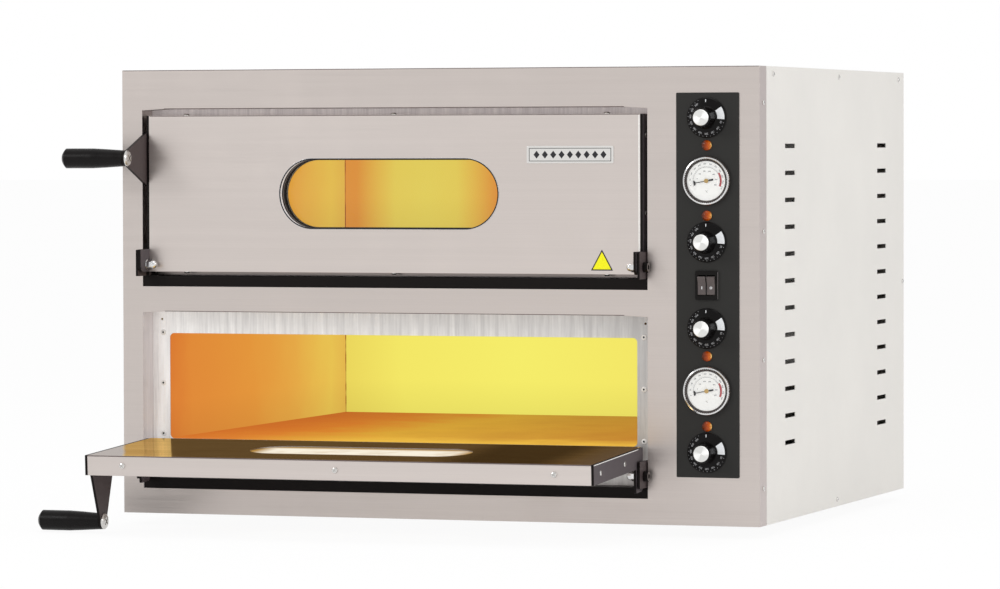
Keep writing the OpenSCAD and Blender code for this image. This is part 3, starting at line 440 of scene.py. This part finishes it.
def heat_tinted(name, letter):
    """Inner pan of a door, whose face looks along an axis: bronze from heat, and plain steel at its left end
    as a painted reflection of the white surroundings.

    The face is a plain mirror, so that it stays dark where it shows the chamber at a slant. The bronze starts
    where the camera sees the front panel's left edge in it."""
    s = Shader(name, Metallic=1.0, Base_Color=srgb(168, 158, 154))
    fine = s.noise((8, 700, 700), detail=2)
    wisp = s.noise((9, 60, 60), detail=4, roughness=0.65)
    # Painted reflection: the tint changes where the camera sees the front panel's left edge mirrored in the
    # face
    east = s.math("SUBTRACT", s.axis("X"), CAMERA_AT[0])
    north = s.math("SUBTRACT", s.axis("Y"), CAMERA_AT[1])
    cos, sin = math.cos(CAMERA_YAW), math.sin(CAMERA_YAW)
    across = s.math("ADD", s.math("MULTIPLY", east, cos), s.math("MULTIPLY", north, sin))
    ahead = s.math("SUBTRACT", s.math("MULTIPLY", north, cos), s.math("MULTIPLY", east, sin))
    view = s.math("DIVIDE", across, ahead)
    side, front = FRONT_LOW.x - CAMERA_AT[0], FRONT - CAMERA_AT[1]
    left_edge = (side * cos + front * sin) / (front * cos - side * sin)
    blur = 0.0004
    tint = s.span(s.math("ADD", view, s.span(wisp, 0.3, 0.7, -blur / 2, blur / 2)),
                  left_edge - blur, left_edge + blur)
    bronze = s.mix(s.span(wisp, 0.3, 0.7), srgb(224, 184, 110), srgb(246, 208, 132))
    # A dusky band near the right end, and a pale end past it
    x = s.axis("X")
    dusk = s.math("SUBTRACT", s.span(x, 0.05, 0.12, 0.0, 0.7, smooth=True),
                  s.span(x, 0.20, 0.26, 0.0, 0.8, smooth=True))
    bronze = s.mix(s.math("MAXIMUM", dusk, 0.0), bronze, lighter(srgb(206, 165, 92), 0.4))
    bronze = s.mix(s.span(x, 0.24, 0.275, 0, 0.6), bronze, srgb(246, 216, 168))
    rough = s.span(fine, 0.3, 0.7, 0.08, 0.16)
    normal = s.bump(fine, 0.012 * MM, s.round_edges(0.3 * MM))
    s.set(Roughness=s.math("ADD", rough, 0.2), Normal=normal)
    mirror = s.add("ShaderNodeBsdfGlossy", {
        "Color": s.mix(tint, srgb(208, 200, 195), bronze), "Roughness": rough, "Normal": normal}).outputs[0]
    face = s.math("GREATER_THAN", s.own_normal(letter), 0.8)
    both = s.add("ShaderNodeMixShader", {0: face, 1: s.bsdf.outputs[0], 2: mirror}).outputs[0]
    s.put(s.out.inputs["Surface"], both)
    return s.mat


def lit_steel(name, hearth_z, pool_x, pool_z, pool_radius, squash, tones):
    """Chamber lining under lamp light: orange on the side walls, and a pool of yellow tones on the back.

    It looks dark in reflections, so that the open door shows bronze and not the lamps."""
    s = Shader(name, Metallic=0.3, Roughness=0.5)
    x, y, z = (s.axis(a) for a in "XYZ")
    blotch = s.noise((9, 9, 9), detail=3)
    # Side walls, from the opening to the back
    deep = s.span(s.math("ADD", y, s.span(blotch, 0.3, 0.7, -0.02, 0.02)), *CHAMBER_Y)
    side = s.ramp(deep, [(0, srgb(222, 122, 44)), (0.12, srgb(229, 140, 52)), (0.45, srgb(232, 152, 56)),
                         (0.7, srgb(234, 172, 68)), (0.9, srgb(237, 198, 80)), (1, srgb(232, 186, 76))])
    # Back wall, brightest in the middle of the lamp's pool of light
    dx = s.math("SUBTRACT", x, pool_x)
    dz = s.math("MULTIPLY", s.math("SUBTRACT", z, pool_z), squash)
    reach = s.math("SQRT", s.math("ADD", s.math("MULTIPLY", dx, dx), s.math("MULTIPLY", dz, dz)))
    stops = [(share, srgb(*tone)) for share, tone in zip((0, 0.45, 0.7, 1), tones)]
    back = s.ramp(s.span(reach, 0, pool_radius), stops)
    across = s.math("GREATER_THAN", s.facing("Y"), 0.5)
    colour = s.mix(across, side, back)
    # Floor and ceiling
    level_face = s.math("GREATER_THAN", s.facing("Z"), 0.5)
    colour = s.mix(level_face, colour, s.mix(0.5, side, srgb(226, 150, 60)))
    # Dark folded seam in the back corners
    off_centre = s.math("ABSOLUTE", s.math("SUBTRACT", x, CHAMBER_X))
    from_corner = s.math("ABSOLUTE", s.math("SUBTRACT", off_centre, CHAMBER_HALF))
    seam = s.math("MULTIPLY", s.math("LESS_THAN", from_corner, 1.3 * MM), across)
    worn = s.span(s.noise((40, 40, 60), detail=1), 0.4, 0.6, 0.55, 1.0)
    colour = s.mix(s.math("MULTIPLY", seam, worn), colour, srgb(140, 56, 18))
    # A little darker close to the hearth
    colour = s.shaded(colour, s.span(z, hearth_z, hearth_z + 0.05, 0.90, 1.0))
    glossy = s.add("ShaderNodeLightPath").outputs["Is Glossy Ray"]
    s.set(Base_Color=(0.03, 0.022, 0.010), Emission_Color=s.mix(glossy, colour, MIRRORED_DARK),
          Emission_Strength=s.span(glossy, 0, 1, 0.93, 1.0))
    s.set(Normal=s.bump(blotch, 0.1 * MM))
    return s.mat


def lit_stone():
    """Fired clay slab under lamp light: orange at the left, golden towards the right and the front."""
    s = Shader("hearth_stone", Roughness=0.85, Specular_IOR_Level=0.1)
    x, y = s.axis("X"), s.axis("Y")
    grit = s.noise((300, 300, 300), detail=4, roughness=0.7)
    stain = s.noise((12, 12, 12), detail=4, roughness=0.6)
    wander = s.span(stain, 0.3, 0.7, -0.04, 0.04)
    across = s.span(s.math("ADD", x, wander), -0.40, 0.25)
    colour = s.ramp(across, [(0, srgb(212, 112, 40)), (0.2, srgb(220, 130, 44)), (0.42, srgb(222, 170, 56)),
                             (0.62, srgb(212, 158, 54)), (1, srgb(196, 132, 46))])
    # Painted shade: darker towards the back
    deep = s.span(s.math("ADD", y, wander), -0.34, 0.33, 1.08, 0.84)
    # Painted light: a brighter band along the front edge, away from the left
    band = s.math("MULTIPLY", s.span(s.math("ADD", y, wander), -0.36, -0.20, 0.85, 0, smooth=True),
                  s.span(x, -0.32, -0.05))
    colour = s.mix(band, colour, srgb(238, 190, 68))
    colour = s.shaded(colour, s.math("MULTIPLY", deep, s.span(grit, 0.3, 0.7, 0.95, 1.05)))
    glossy = s.add("ShaderNodeLightPath").outputs["Is Glossy Ray"]
    s.set(Base_Color=(0.05, 0.03, 0.012), Emission_Color=s.mix(glossy, colour, MIRRORED_DARK),
          Emission_Strength=s.span(glossy, 0, 1, 0.90, 1.0))
    s.set(Normal=s.bump(grit, 0.4 * MM))
    return s.mat


def mineral_wool():
    """Pale yellow insulation with coarse fibres."""
    s = Shader("mineral_wool", Roughness=0.95, Specular_IOR_Level=0.05)
    fibre = s.noise((260, 260, 900), detail=5, roughness=0.75)
    s.set(Base_Color=s.mix(s.span(fibre, 0.3, 0.7), srgb(176, 164, 120), srgb(222, 212, 172)))
    s.set(Normal=s.bump(fibre, 0.8 * MM))
    return s.mat


# ---------------------------------------------------------------- materials onto the CAD nodes

wool = mineral_wool()
KNOBS = [f"{deck}_{place}_knob" for deck in DECKS for place in ("top", "floor")]
CABINET_MATERIALS = {
    "base_pan": zinc, "feet": rubber, "front_panel": steel, "left_side_panel": cream,
    "right_side_panel": cream, "rear_panel": cream, "top_panel": cream, "bay_wall": zinc,
    "cabinet_screws": screw_zinc, "control_fascia": fascia, "upper_face_plate": high_zinc,
    "lower_face_plate": low_zinc, "face_plate_screws": pale_rivets_and_highlights, "hinge_rails": black_paint,
    "hinge_brackets": black_paint, "hinge_bolts": black_paint, "hinge_nuts": chrome,
    "hearth_stones": lit_stone(), "heating_elements": dark_steel, "insulation": wool, "oven_lamps": chrome,
    "thermostats": bake_black, "capillaries": copper, "indicator_lamps": amber_lens(),
    "gauge_cases": chrome, "gauge_dials": dial_white, "gauge_glasses": gauge_glass,
    "switch_frame": frame_black, "terminal_block": bake_black, "cable_gland": bake_black,
    "bonding_stud": brass, "nameplate": plate_steel, "upper_pointer": ink_black, "lower_pointer": ink_black,
    "left_rocker": rocker_grey, "right_rocker": rocker_grey,
    "upper_chamber_liner": lit_steel(
        "upper_chamber_light", hearth_z=0.390, pool_x=-0.268, pool_z=0.440, pool_radius=0.110, squash=0.3,
        tones=((236, 217, 97), (236, 213, 94), (234, 190, 80), (229, 150, 58))),
    "lower_chamber_liner": lit_steel(
        "lower_chamber_light", hearth_z=0.116, pool_x=-0.120, pool_z=0.200, pool_radius=0.42, squash=0.8,
        tones=((251, 243, 108), (249, 237, 104), (238, 216, 92), (232, 180, 74))),
}
DOOR_MATERIALS = {
    "door_skin": door_steel, "door_insulation": wool, "door_glass": window_glass, "window_trim": tube_black,
    "end_plates": black_paint, "handle_bracket": black_paint, "grip": grip_black, "door_screws": screw_zinc,
}
# What differs between the shut upper door and the open lower one
OWN_MATERIALS = {
    "upper_door_pan": heat_tinted("upper_heat_tinted_pan", "Y"), "upper_window_trim": trim_tube(),
    "lower_door_pan": heat_tinted("lower_heat_tinted_pan", "Z"), "lower_door_glass": open_glass,
}
NODE_MATERIALS = {
    **CABINET_MATERIALS,
    **{name: knob_black for name in KNOBS},
    **{f"{deck}_{part}": material for deck in DECKS for part, material in DOOR_MATERIALS.items()},
    **OWN_MATERIALS,
}

for name, material in NODE_MATERIALS.items():
    slots = nodes[name].data.materials
    slots.clear()
    slots.append(material)


def second_material(name, material, rule):
    """Gives the faces of a CAD node that pass the rule, from their centre and normal, another material."""
    mesh = nodes[name].data
    mesh.materials.append(material)
    index = len(mesh.materials) - 1
    for face in mesh.polygons:
        if rule(face.center, face.normal):
            face.material_index = index


def nearest(point, centres):
    """Distance to the nearest of the centres, seen from the front."""
    return min(math.hypot(point.x - centre.x, point.z - centre.z) for centre in centres)


# Caps of the knobs and hubs of the pointers
CAP_FACE, CAP_RADIUS = FRONT - 28.3 * MM, 10.55 * MM
for name in KNOBS:
    centre = pivot(name)
    second_material(name, spun_cap(f"{name}_cap", centre),
                    lambda p, n, c=centre: p.y < CAP_FACE and nearest(p, [c]) < CAP_RADIUS)
HUB_FACE, HUB_RADIUS = FRONT - 3.85 * MM, 3.0 * MM
HUBS = {deck: pivot(f"{deck}_pointer") for deck in DECKS}
for deck, hub in HUBS.items():
    second_material(f"{deck}_pointer", brass,
                    lambda p, n, c=hub: p.y < HUB_FACE and nearest(p, [c]) < HUB_RADIUS)

# Painted shade: bezels of the gauges are dark inside and round their rims
BEZEL_IN, BEZEL_OUT = 29.0 * MM, 31.6 * MM
second_material("gauge_cases", bezel_dark, lambda p, n: p.y < FRONT - 3 * MM
                and not BEZEL_IN <= nearest(p, HUBS.values()) <= BEZEL_OUT)


# Painted light: the flat sides of the black plates are lit copies in dull grey, and only their edges stay
# black
def sideways_face(p, n):
    return abs(n.x) > 0.9


second_material("hinge_brackets", bracket_lit_sides, sideways_face)
for deck in DECKS:
    second_material(f"{deck}_end_plates", end_lit_sides, sideways_face)
    second_material(f"{deck}_handle_bracket", bracket_lit_sides, sideways_face)

# Faces turned to the right: the switch frame's side and the lower recess's left wall, lit copies of their
# materials as painted light, the front's flange, a darker copy as painted shade, and the ends of the hinge
# bolts
RECESS_TOP = 0.3
FLANGE_X = FRONT_HIGH.x - 10 * MM
BOLT_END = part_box("hinge_bolts")[1].x - 0.3 * MM
second_material("switch_frame", frame_side, lambda p, n: n.x > 0.9 and p.y < FRONT - 2 * MM)
second_material("front_panel", lit_recess_side, lambda p, n: n.x > 0.9 and p.x < CHAMBER_X
                and p.z < RECESS_TOP and FRONT + 1 * MM < p.y < FRONT + 34 * MM)
second_material("front_panel", shaded_flange_steel, lambda p, n: n.x > 0.9 and p.x > FLANGE_X)
second_material("hinge_bolts", bolt_grey, lambda p, n: n.x > 0.9 and p.x > BOLT_END)

# Dark middles of the face plates' screws, which stand in columns of three
SCREW_HEAD, SCREW_STEP = 3.8 * MM, 69 * MM
low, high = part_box("face_plate_screws")
SCREWS = [Vector((x, 0, low.z + SCREW_HEAD + row * SCREW_STEP + rise))
          for x in (low.x + SCREW_HEAD, high.x - SCREW_HEAD) for rise in (0, DECK_STEP) for row in range(3)]
second_material("face_plate_screws", ink_black, lambda p, n: nearest(p, SCREWS) < 1.5 * MM)

# The lower door is modelled open, so its rules are written for the shut door
HINGE = pivot("lower_door")
SHUT = Matrix.Rotation(math.radians(joints["lower_door"]["range_deg"][0]), 3, "X")


def shut(deck, point):
    """Where a point of a door lies once that door is shut."""
    return point if deck == "upper" else HINGE + SHUT @ (point - HINGE)


def opened(point):
    """Where a point of the shut lower door lies once it is open."""
    return HINGE + SHUT.transposed() @ (point - HINGE)


# The window trims' lip in front is painted dark, standing for a dark reflection in their chrome, and the step
# behind it is chrome
LIP, STEP = FRONT - 0.75 * MM, FRONT + 0.2 * MM
for deck in DECKS:
    second_material(f"{deck}_window_trim", dark_reflected_lip, lambda p, n, d=deck: shut(d, p).y < LIP)
    second_material(f"{deck}_window_trim", chrome, lambda p, n, d=deck: LIP <= shut(d, p).y < STEP)


# ---------------------------------------------------------------- small modelled pieces

def piece(name, bm, material, body):
    """Turns bm into a named object that rides on a body."""
    mesh = bpy.data.meshes.new(name)
    bmesh.ops.recalc_face_normals(bm, faces=bm.faces)
    bm.to_mesh(mesh)
    bm.free()
    mesh.materials.append(material)
    obj = bpy.data.objects.new(name, mesh)
    bpy.context.scene.collection.objects.link(obj)
    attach(obj, body)


def polar(r, degrees):
    """Point at a radius and an angle, counted anticlockwise from the right."""
    return (r * math.cos(math.radians(degrees)), r * math.sin(math.radians(degrees)))


def rectangle(x0, z0, x1, z1):
    return [(x0, z0), (x1, z0), (x1, z1), (x0, z1)]


def sector(r0, r1, a0, a1):
    """Straight-sided piece of a ring, between two radii and two angles."""
    return [polar(r1, a0), polar(r1, a1), polar(r0, a1), polar(r0, a0)]


def steps(start, stop, count):
    """Pairs of neighbouring values, from start to stop."""
    marks = [start + (stop - start) * i / count for i in range(count + 1)]
    return list(zip(marks, marks[1:]))


def tick(r0, r1, degrees, width):
    """Straight mark along a radius."""
    c, s = math.cos(math.radians(degrees)), math.sin(math.radians(degrees))
    return [(a * c - b * s, a * s + b * c) for a, b in rectangle(r0, -width / 2, r1, width / 2)]


def figure_mesh(text, size):
    """Flat mesh of a few figures, centred, as a list of points and a list of faces."""
    curve = bpy.data.curves.new("figure", "FONT")
    curve.body = text
    curve.size = size
    curve.align_x = "CENTER"
    curve.align_y = "CENTER"
    curve.resolution_u = 3
    curve.offset = size * 0.012
    holder = bpy.data.objects.new("figure", curve)
    bpy.context.scene.collection.objects.link(holder)
    bpy.context.view_layer.update()
    mesh = bpy.data.meshes.new_from_object(holder.evaluated_get(bpy.context.evaluated_depsgraph_get()))
    points = [(v.co.x, v.co.y) for v in mesh.vertices]
    faces = [tuple(f.vertices) for f in mesh.polygons]
    bpy.data.objects.remove(holder)
    bpy.data.meshes.remove(mesh)
    return points, faces


def turned(points, r, degrees, lean):
    """Points moved to a radius and angle, and turned by lean."""
    x0, z0 = polar(r, degrees)
    c, s = math.cos(math.radians(lean)), math.sin(math.radians(lean))
    return [(x0 + x * c - z * s, z0 + x * s + z * c) for x, z in points]


def raised(bm, points, faces, centre, surface, thick):
    """Adds flat shapes to bm as thin raised prints facing -Y.

    The surface is a Y place, or a function that gives it from the radius."""
    front, back = [], []
    for x, z in points:
        y = surface(math.hypot(x, z)) if callable(surface) else surface
        front.append(bm.verts.new((centre[0] + x, y - thick, centre[1] + z)))
        back.append(bm.verts.new((centre[0] + x, y + 0.02 * MM, centre[1] + z)))
    edges = {face: list(zip(face, face[1:] + face[:1])) for face in faces}
    shared = Counter(frozenset(edge) for face in faces for edge in edges[face])
    for face in faces:
        bm.faces.new([front[i] for i in face])
        bm.faces.new([back[i] for i in reversed(face)])
        for a, b in edges[face]:
            if shared[frozenset((a, b))] == 1:
                bm.faces.new([front[a], back[a], back[b], front[b]])


def outline(bm, points, centre, surface, thick=0.12 * MM):
    raised(bm, points, [tuple(range(len(points)))], centre, surface, thick)


def strip(bm, x0, z0, x1, z1, surface, thick):
    """Raised rectangle between two corners, seen from the front."""
    outline(bm, rectangle(x0, z0, x1, z1), (0, 0), surface, thick)


# Scales on the knobs' skirts, which are slightly conical
def skirt(r):
    inner, outer = 15.2 * MM, 25.3 * MM
    share = (outer - min(max(r, inner), outer)) / (outer - inner)
    return FRONT - 4.6 * MM - 1.8 * MM * share


SKIRT_EDGE = 25.0 * MM
for name in KNOBS:
    centre = pivot(name)
    at = (centre.x, centre.z)
    bold, fine = bmesh.new(), bmesh.new()
    outline(bold, tick(20.4 * MM, 24.0 * MM, 91, 1.0 * MM), at, skirt)
    for a0, a1 in steps(-5, 35, 6):
        outline(bold, sector(15.8 * MM, SKIRT_EDGE, a0, a1), at, skirt)
    for i in range(10):
        angle = -16 - 24 * i
        points, faces = figure_mesh(str(50 * (i + 1)), 3.3 * MM)
        raised(fine, turned(points, 21.0 * MM, angle, angle - 90), faces, at, skirt, 0.1 * MM)
        outline(fine, tick(23.7 * MM, SKIRT_EDGE, angle, 0.5 * MM), at, skirt)
        outline(fine, tick(24.2 * MM, SKIRT_EDGE, angle - 12, 0.4 * MM), at, skirt)
    piece(f"{name}_scale", bold, ink_white, name)
    piece(f"{name}_numbers", fine, ink_pale, name)

# Printing on the gauges' dials: an arc with ticks, two rows of numbers, the unit and a red band
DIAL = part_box("gauge_dials")[0].y
PRINT = 0.08 * MM
for deck, hub in HUBS.items():
    at = (hub.x, hub.z)
    grey, figures, red = bmesh.new(), bmesh.new(), bmesh.new()
    for i, (a0, a1) in enumerate(steps(201, -22, 44)):
        outline(grey, sector(17.85 * MM, 18.15 * MM, a0, a1), at, DIAL, 0.06 * MM)
        outline(grey, tick(18.1 * MM, (19.6 if i % 4 else 20.2) * MM, a0, 0.22 * MM), at, DIAL, PRINT)
    for i in range(12):
        angle = 196 - 20 * i
        points, faces = figure_mesh(str(50 * i), 2.7 * MM)
        raised(figures, turned(points, 22.3 * MM, angle, angle - 90), faces, at, DIAL, PRINT)
    for i in range(7):
        points, faces = figure_mesh(str(100 * i), 2.5 * MM)
        raised(figures, turned(points, 13.0 * MM, 168 - 32 * i, 0), faces, at, DIAL, PRINT)
    points, faces = figure_mesh("°C", 3.4 * MM)
    raised(figures, [(x, z - 14 * MM) for x, z in points], faces, at, DIAL, PRINT)
    for a0, a1 in steps(32, -22, 9):
        outline(red, sector(18.3 * MM, 20.8 * MM, a0, a1), at, DIAL, 0.1 * MM)
    piece(f"{deck}_dial_ticks", grey, ink_grey, "cabinet")
    piece(f"{deck}_dial_numbers", figures, ink_grey, "cabinet")
    piece(f"{deck}_dial_red_band", red, ink_red, "cabinet")

# Marks on the rockers' lower halves: a bar and a ring, given in millimetres from the rocker's pivot
ROCKER_REST_TILT = math.radians(8)
ROCKER_HALF, ROCKER_DEPTH, ROCKER_RISE = 11.4, 3, 2.2


def on_rocker(name, x, z, out):
    """Point on, or a little out from, the lower half of a rocker's face at rest."""
    y = -ROCKER_DEPTH + ROCKER_RISE * z / ROCKER_HALF - out
    return pivot(name) + Matrix.Rotation(ROCKER_REST_TILT, 3, "X") @ Vector((x, y, z)) * MM


def ring_parts(r0, r1, z, count):
    """Straight-sided pieces of a whole ring, with its centre moved up by z."""
    return [[(a, z + b) for a, b in sector(r0, r1, a0, a1)] for a0, a1 in steps(0, 360, count)]


for name, shapes in (("left_rocker", [rectangle(-0.55, -4.6, 0.55, -0.9)]),
                     ("right_rocker", ring_parts(1.7, 1.0, -2.8, 16))):
    bm = bmesh.new()
    for shape in shapes:
        front = [bm.verts.new(on_rocker(name, x, z, 0.15)) for x, z in shape]
        back = [bm.verts.new(on_rocker(name, x, z, -0.05)) for x, z in shape]
        bm.faces.new(front)
        bm.faces.new(list(reversed(back)))
        for i in range(len(shape)):
            j = (i + 1) % len(shape)
            bm.faces.new([front[i], back[i], back[j], front[j]])
    piece(f"{name}_mark", bm, ink_white, name)

# Plain triangular sticker on the upper door, with a dark border, measured from the door's bottom right corner
SKIN_LOW, SKIN_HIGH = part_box("upper_door_skin")
STICKER_WIDTH, STICKER_HEIGHT = 30.5 * MM, 27.8 * MM
STICKER_MID = (SKIN_HIGH.x - 52.85 * MM, SKIN_LOW.z + 4.9 * MM + STICKER_HEIGHT / 3)
for name, share, material, out in (("sticker_border", 1, ink_black, 0.12 * MM),
                                   ("sticker_face", 0.8256, sticker_yellow, 0.2 * MM)):
    half, height = STICKER_WIDTH / 2 * share, STICKER_HEIGHT * share
    triangle = [(-half, -height / 3), (half, -height / 3), (0, height * 2 / 3)]
    bm = bmesh.new()
    outline(bm, triangle, STICKER_MID, SKIN_LOW.y, out)
    piece(name, bm, material, "upper_door")

# Painted shadow lines along the top of the front and over the raised edges of both recesses
SHADOW_LINE = 0.8 * MM
bm = bmesh.new()
strip(bm, FRONT_LOW.x + 1 * MM, FRONT_HIGH.z - 0.9 * MM, FRONT_HIGH.x - 1 * MM, FRONT_HIGH.z - 0.1 * MM,
      FRONT, 0.08 * MM)
for deck in reversed(DECKS):
    low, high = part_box(f"{deck}_face_plate")
    z = high.z + 0.1 * MM
    strip(bm, low.x + 32 * MM, z, high.x - 32 * MM, z + SHADOW_LINE, FRONT, 0.08 * MM)
piece("front_shadow_lines", bm, shadow_line_ink, "cabinet")

# Painted shadow along the shut door's top edge, and a painted highlight on its folded right edge
for name, material, x0, x1, z0, z1 in (
        ("door_top_seam", shadow_line_ink, SKIN_LOW.x + 1 * MM, SKIN_HIGH.x - 1 * MM,
         SKIN_HIGH.z - 1.1 * MM, SKIN_HIGH.z - 0.3 * MM),
        ("door_edge_light", pale_rivets_and_highlights, SKIN_HIGH.x - 2.4 * MM, SKIN_HIGH.x - 0.6 * MM,
         SKIN_LOW.z + 2 * MM, SKIN_HIGH.z - 2 * MM)):
    bm = bmesh.new()
    strip(bm, x0, z0, x1, z1, SKIN_LOW.y, 0.06 * MM)
    piece(name, bm, material, "upper_door")

# On the open door, a painted shadow line and a painted highlight on an edge round its pan, given for the shut
# door and then swung down
DOOR_TOP = SKIN_HIGH.z - DECK_STEP
DOOR_LIGHT_LOW = HINGE.z + 9.8 * MM
PAN_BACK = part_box("upper_door_pan")[1].y
PLATE_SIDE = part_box("lower_end_plates")[1].x
for name, material, x, y, z in (
        ("open_door_seam", shadow_line_ink, (SKIN_LOW.x, SKIN_HIGH.x), (PAN_BACK - 1.0 * MM, PAN_BACK - 0.2 * MM),
         (DOOR_TOP - 0.02 * MM, DOOR_TOP + 0.07 * MM)),
        ("open_door_light", pale_rivets_and_highlights, (PLATE_SIDE - 0.02 * MM, PLATE_SIDE + 0.07 * MM),
         (PAN_BACK - 1.5 * MM, PAN_BACK - 0.4 * MM), (DOOR_LIGHT_LOW, DOOR_TOP - 1 * MM))):
    bm = bmesh.new()
    corners = [bm.verts.new(opened(Vector((a, b, c)))) for a in x for b in y for c in z]
    for ring in ((0, 1, 3, 2), (4, 6, 7, 5), (0, 4, 5, 1), (2, 3, 7, 6), (0, 2, 6, 4), (1, 5, 7, 3)):
        bm.faces.new([corners[i] for i in ring])
    piece(name, bm, material, "lower_door")

# Ornament on the nameplate: a thin border round a row of lozenges
plate_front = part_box("nameplate")[0].y
plate_mid = (middle("nameplate").x, middle("nameplate").z)
half_w, half_h, line = 57.0 * MM, 8.8 * MM, 0.8 * MM
shapes = [rectangle(-half_w, half_h - line, half_w, half_h),
          rectangle(-half_w, -half_h, half_w, -half_h + line),
          rectangle(-half_w, -half_h + line, -half_w + line, half_h - line),
          rectangle(half_w - line, -half_h + line, half_w, half_h - line)]
lozenge_w, lozenge_h, pitch, lozenges = 4.2 * MM, 5.2 * MM, 11.6 * MM, 9
for i in range(lozenges):
    x = (i - (lozenges - 1) / 2) * pitch
    shapes.append([(x - lozenge_w, 0), (x, -lozenge_h), (x + lozenge_w, 0), (x, lozenge_h)])
bm = bmesh.new()
for shape in shapes:
    outline(bm, shape, plate_mid, plate_front, 0.1 * MM)
piece("nameplate_ornament", bm, ink_black, "upper_door")


# ---------------------------------------------------------------- floor, light and camera

def stage_floor():
    """Wide pale floor. The camera sees it almost white, with only a trace of the oven's shadow."""
    size = 60
    bm = bmesh.new()
    bm.faces.new([bm.verts.new((x, y, 0)) for x, y in rectangle(-size, -size, size, size)])
    mesh = bpy.data.meshes.new("floor")
    bm.to_mesh(mesh)
    bm.free()
    s = Shader("pale_floor", Roughness=0.9, Specular_IOR_Level=0.05)
    cloud = s.noise((1.5, 1.5, 1.5), detail=2)
    s.set(Base_Color=s.mix(cloud, (0.93, 0.93, 0.93), (0.96, 0.96, 0.96)))
    white = s.add("ShaderNodeEmission", {"Color": (1, 1, 1)}).outputs[0]
    seen = s.add("ShaderNodeLightPath").outputs["Is Camera Ray"]
    mirrored = s.add("ShaderNodeLightPath").outputs["Is Glossy Ray"]
    share = s.math("ADD", s.math("MULTIPLY", seen, 0.93), s.math("MULTIPLY", mirrored, 0.72), clamp=True)
    both = s.add("ShaderNodeMixShader", {0: share, 1: s.bsdf.outputs[0], 2: white}).outputs[0]
    s.put(s.out.inputs["Surface"], both)
    mesh.materials.append(s.mat)
    floor = bpy.data.objects.new("floor", mesh)
    bpy.context.scene.collection.objects.link(floor)


def softbox(name, place, target, size, power):
    """Square white light of a size in metres and a power in watts, turned towards the target."""
    light = bpy.data.lights.new(name, "AREA")
    light.shape = "RECTANGLE"
    light.size = light.size_y = size
    light.energy = power
    obj = bpy.data.objects.new(name, light)
    obj.location = place
    obj.rotation_euler = (Vector(target) - Vector(place)).to_track_quat("-Z", "Y").to_euler()
    bpy.context.scene.collection.objects.link(obj)


def studio_world(lit, seen):
    """White surroundings, with one strength for the light they give and one for how the camera sees them."""
    world = bpy.data.worlds.new("studio")
    world.use_nodes = True
    tree = world.node_tree
    background = next(n for n in tree.nodes if n.type == "BACKGROUND")
    background.inputs["Color"].default_value = (1, 1, 1, 1)
    path = tree.nodes.new("ShaderNodeLightPath")
    strength = tree.nodes.new("ShaderNodeMapRange")
    strength.inputs["To Min"].default_value = lit
    strength.inputs["To Max"].default_value = seen
    tree.links.new(path.outputs["Is Camera Ray"], strength.inputs["Value"])
    tree.links.new(strength.outputs[0], background.inputs["Strength"])
    bpy.context.scene.world = world


def look_through_camera():
    """Camera from its place, turn, tilt and roll."""
    data = bpy.data.cameras.new("camera")
    data.lens = CAMERA_LENS
    data.sensor_width = 36
    data.clip_end = 200
    camera = bpy.data.objects.new("camera", data)
    turn = (Matrix.Rotation(CAMERA_YAW, 4, "Z") @ Matrix.Rotation(math.pi / 2 - CAMERA_PITCH, 4, "X")
            @ Matrix.Rotation(CAMERA_ROLL, 4, "Z"))
    camera.matrix_world = Matrix.Translation(CAMERA_AT) @ turn
    bpy.context.scene.collection.objects.link(camera)
    bpy.context.scene.camera = camera


stage_floor()
studio_world(lit=0.77, seen=1.0)
softbox("key_left", (-3.2, -3.6, 2.6), (0, -0.2, 0.3), 1.6, 48)
softbox("top", (0.2, -0.6, 3.4), (0, 0, 0.3), 2.5, 25)
softbox("right_fill", (4.0, -1.5, 1.8), (0.4, 0, 0.3), 2.0, 24)
look_through_camera()

bpy.context.scene.view_settings.view_transform = "Standard"
bpy.context.scene.view_settings.look = "None"
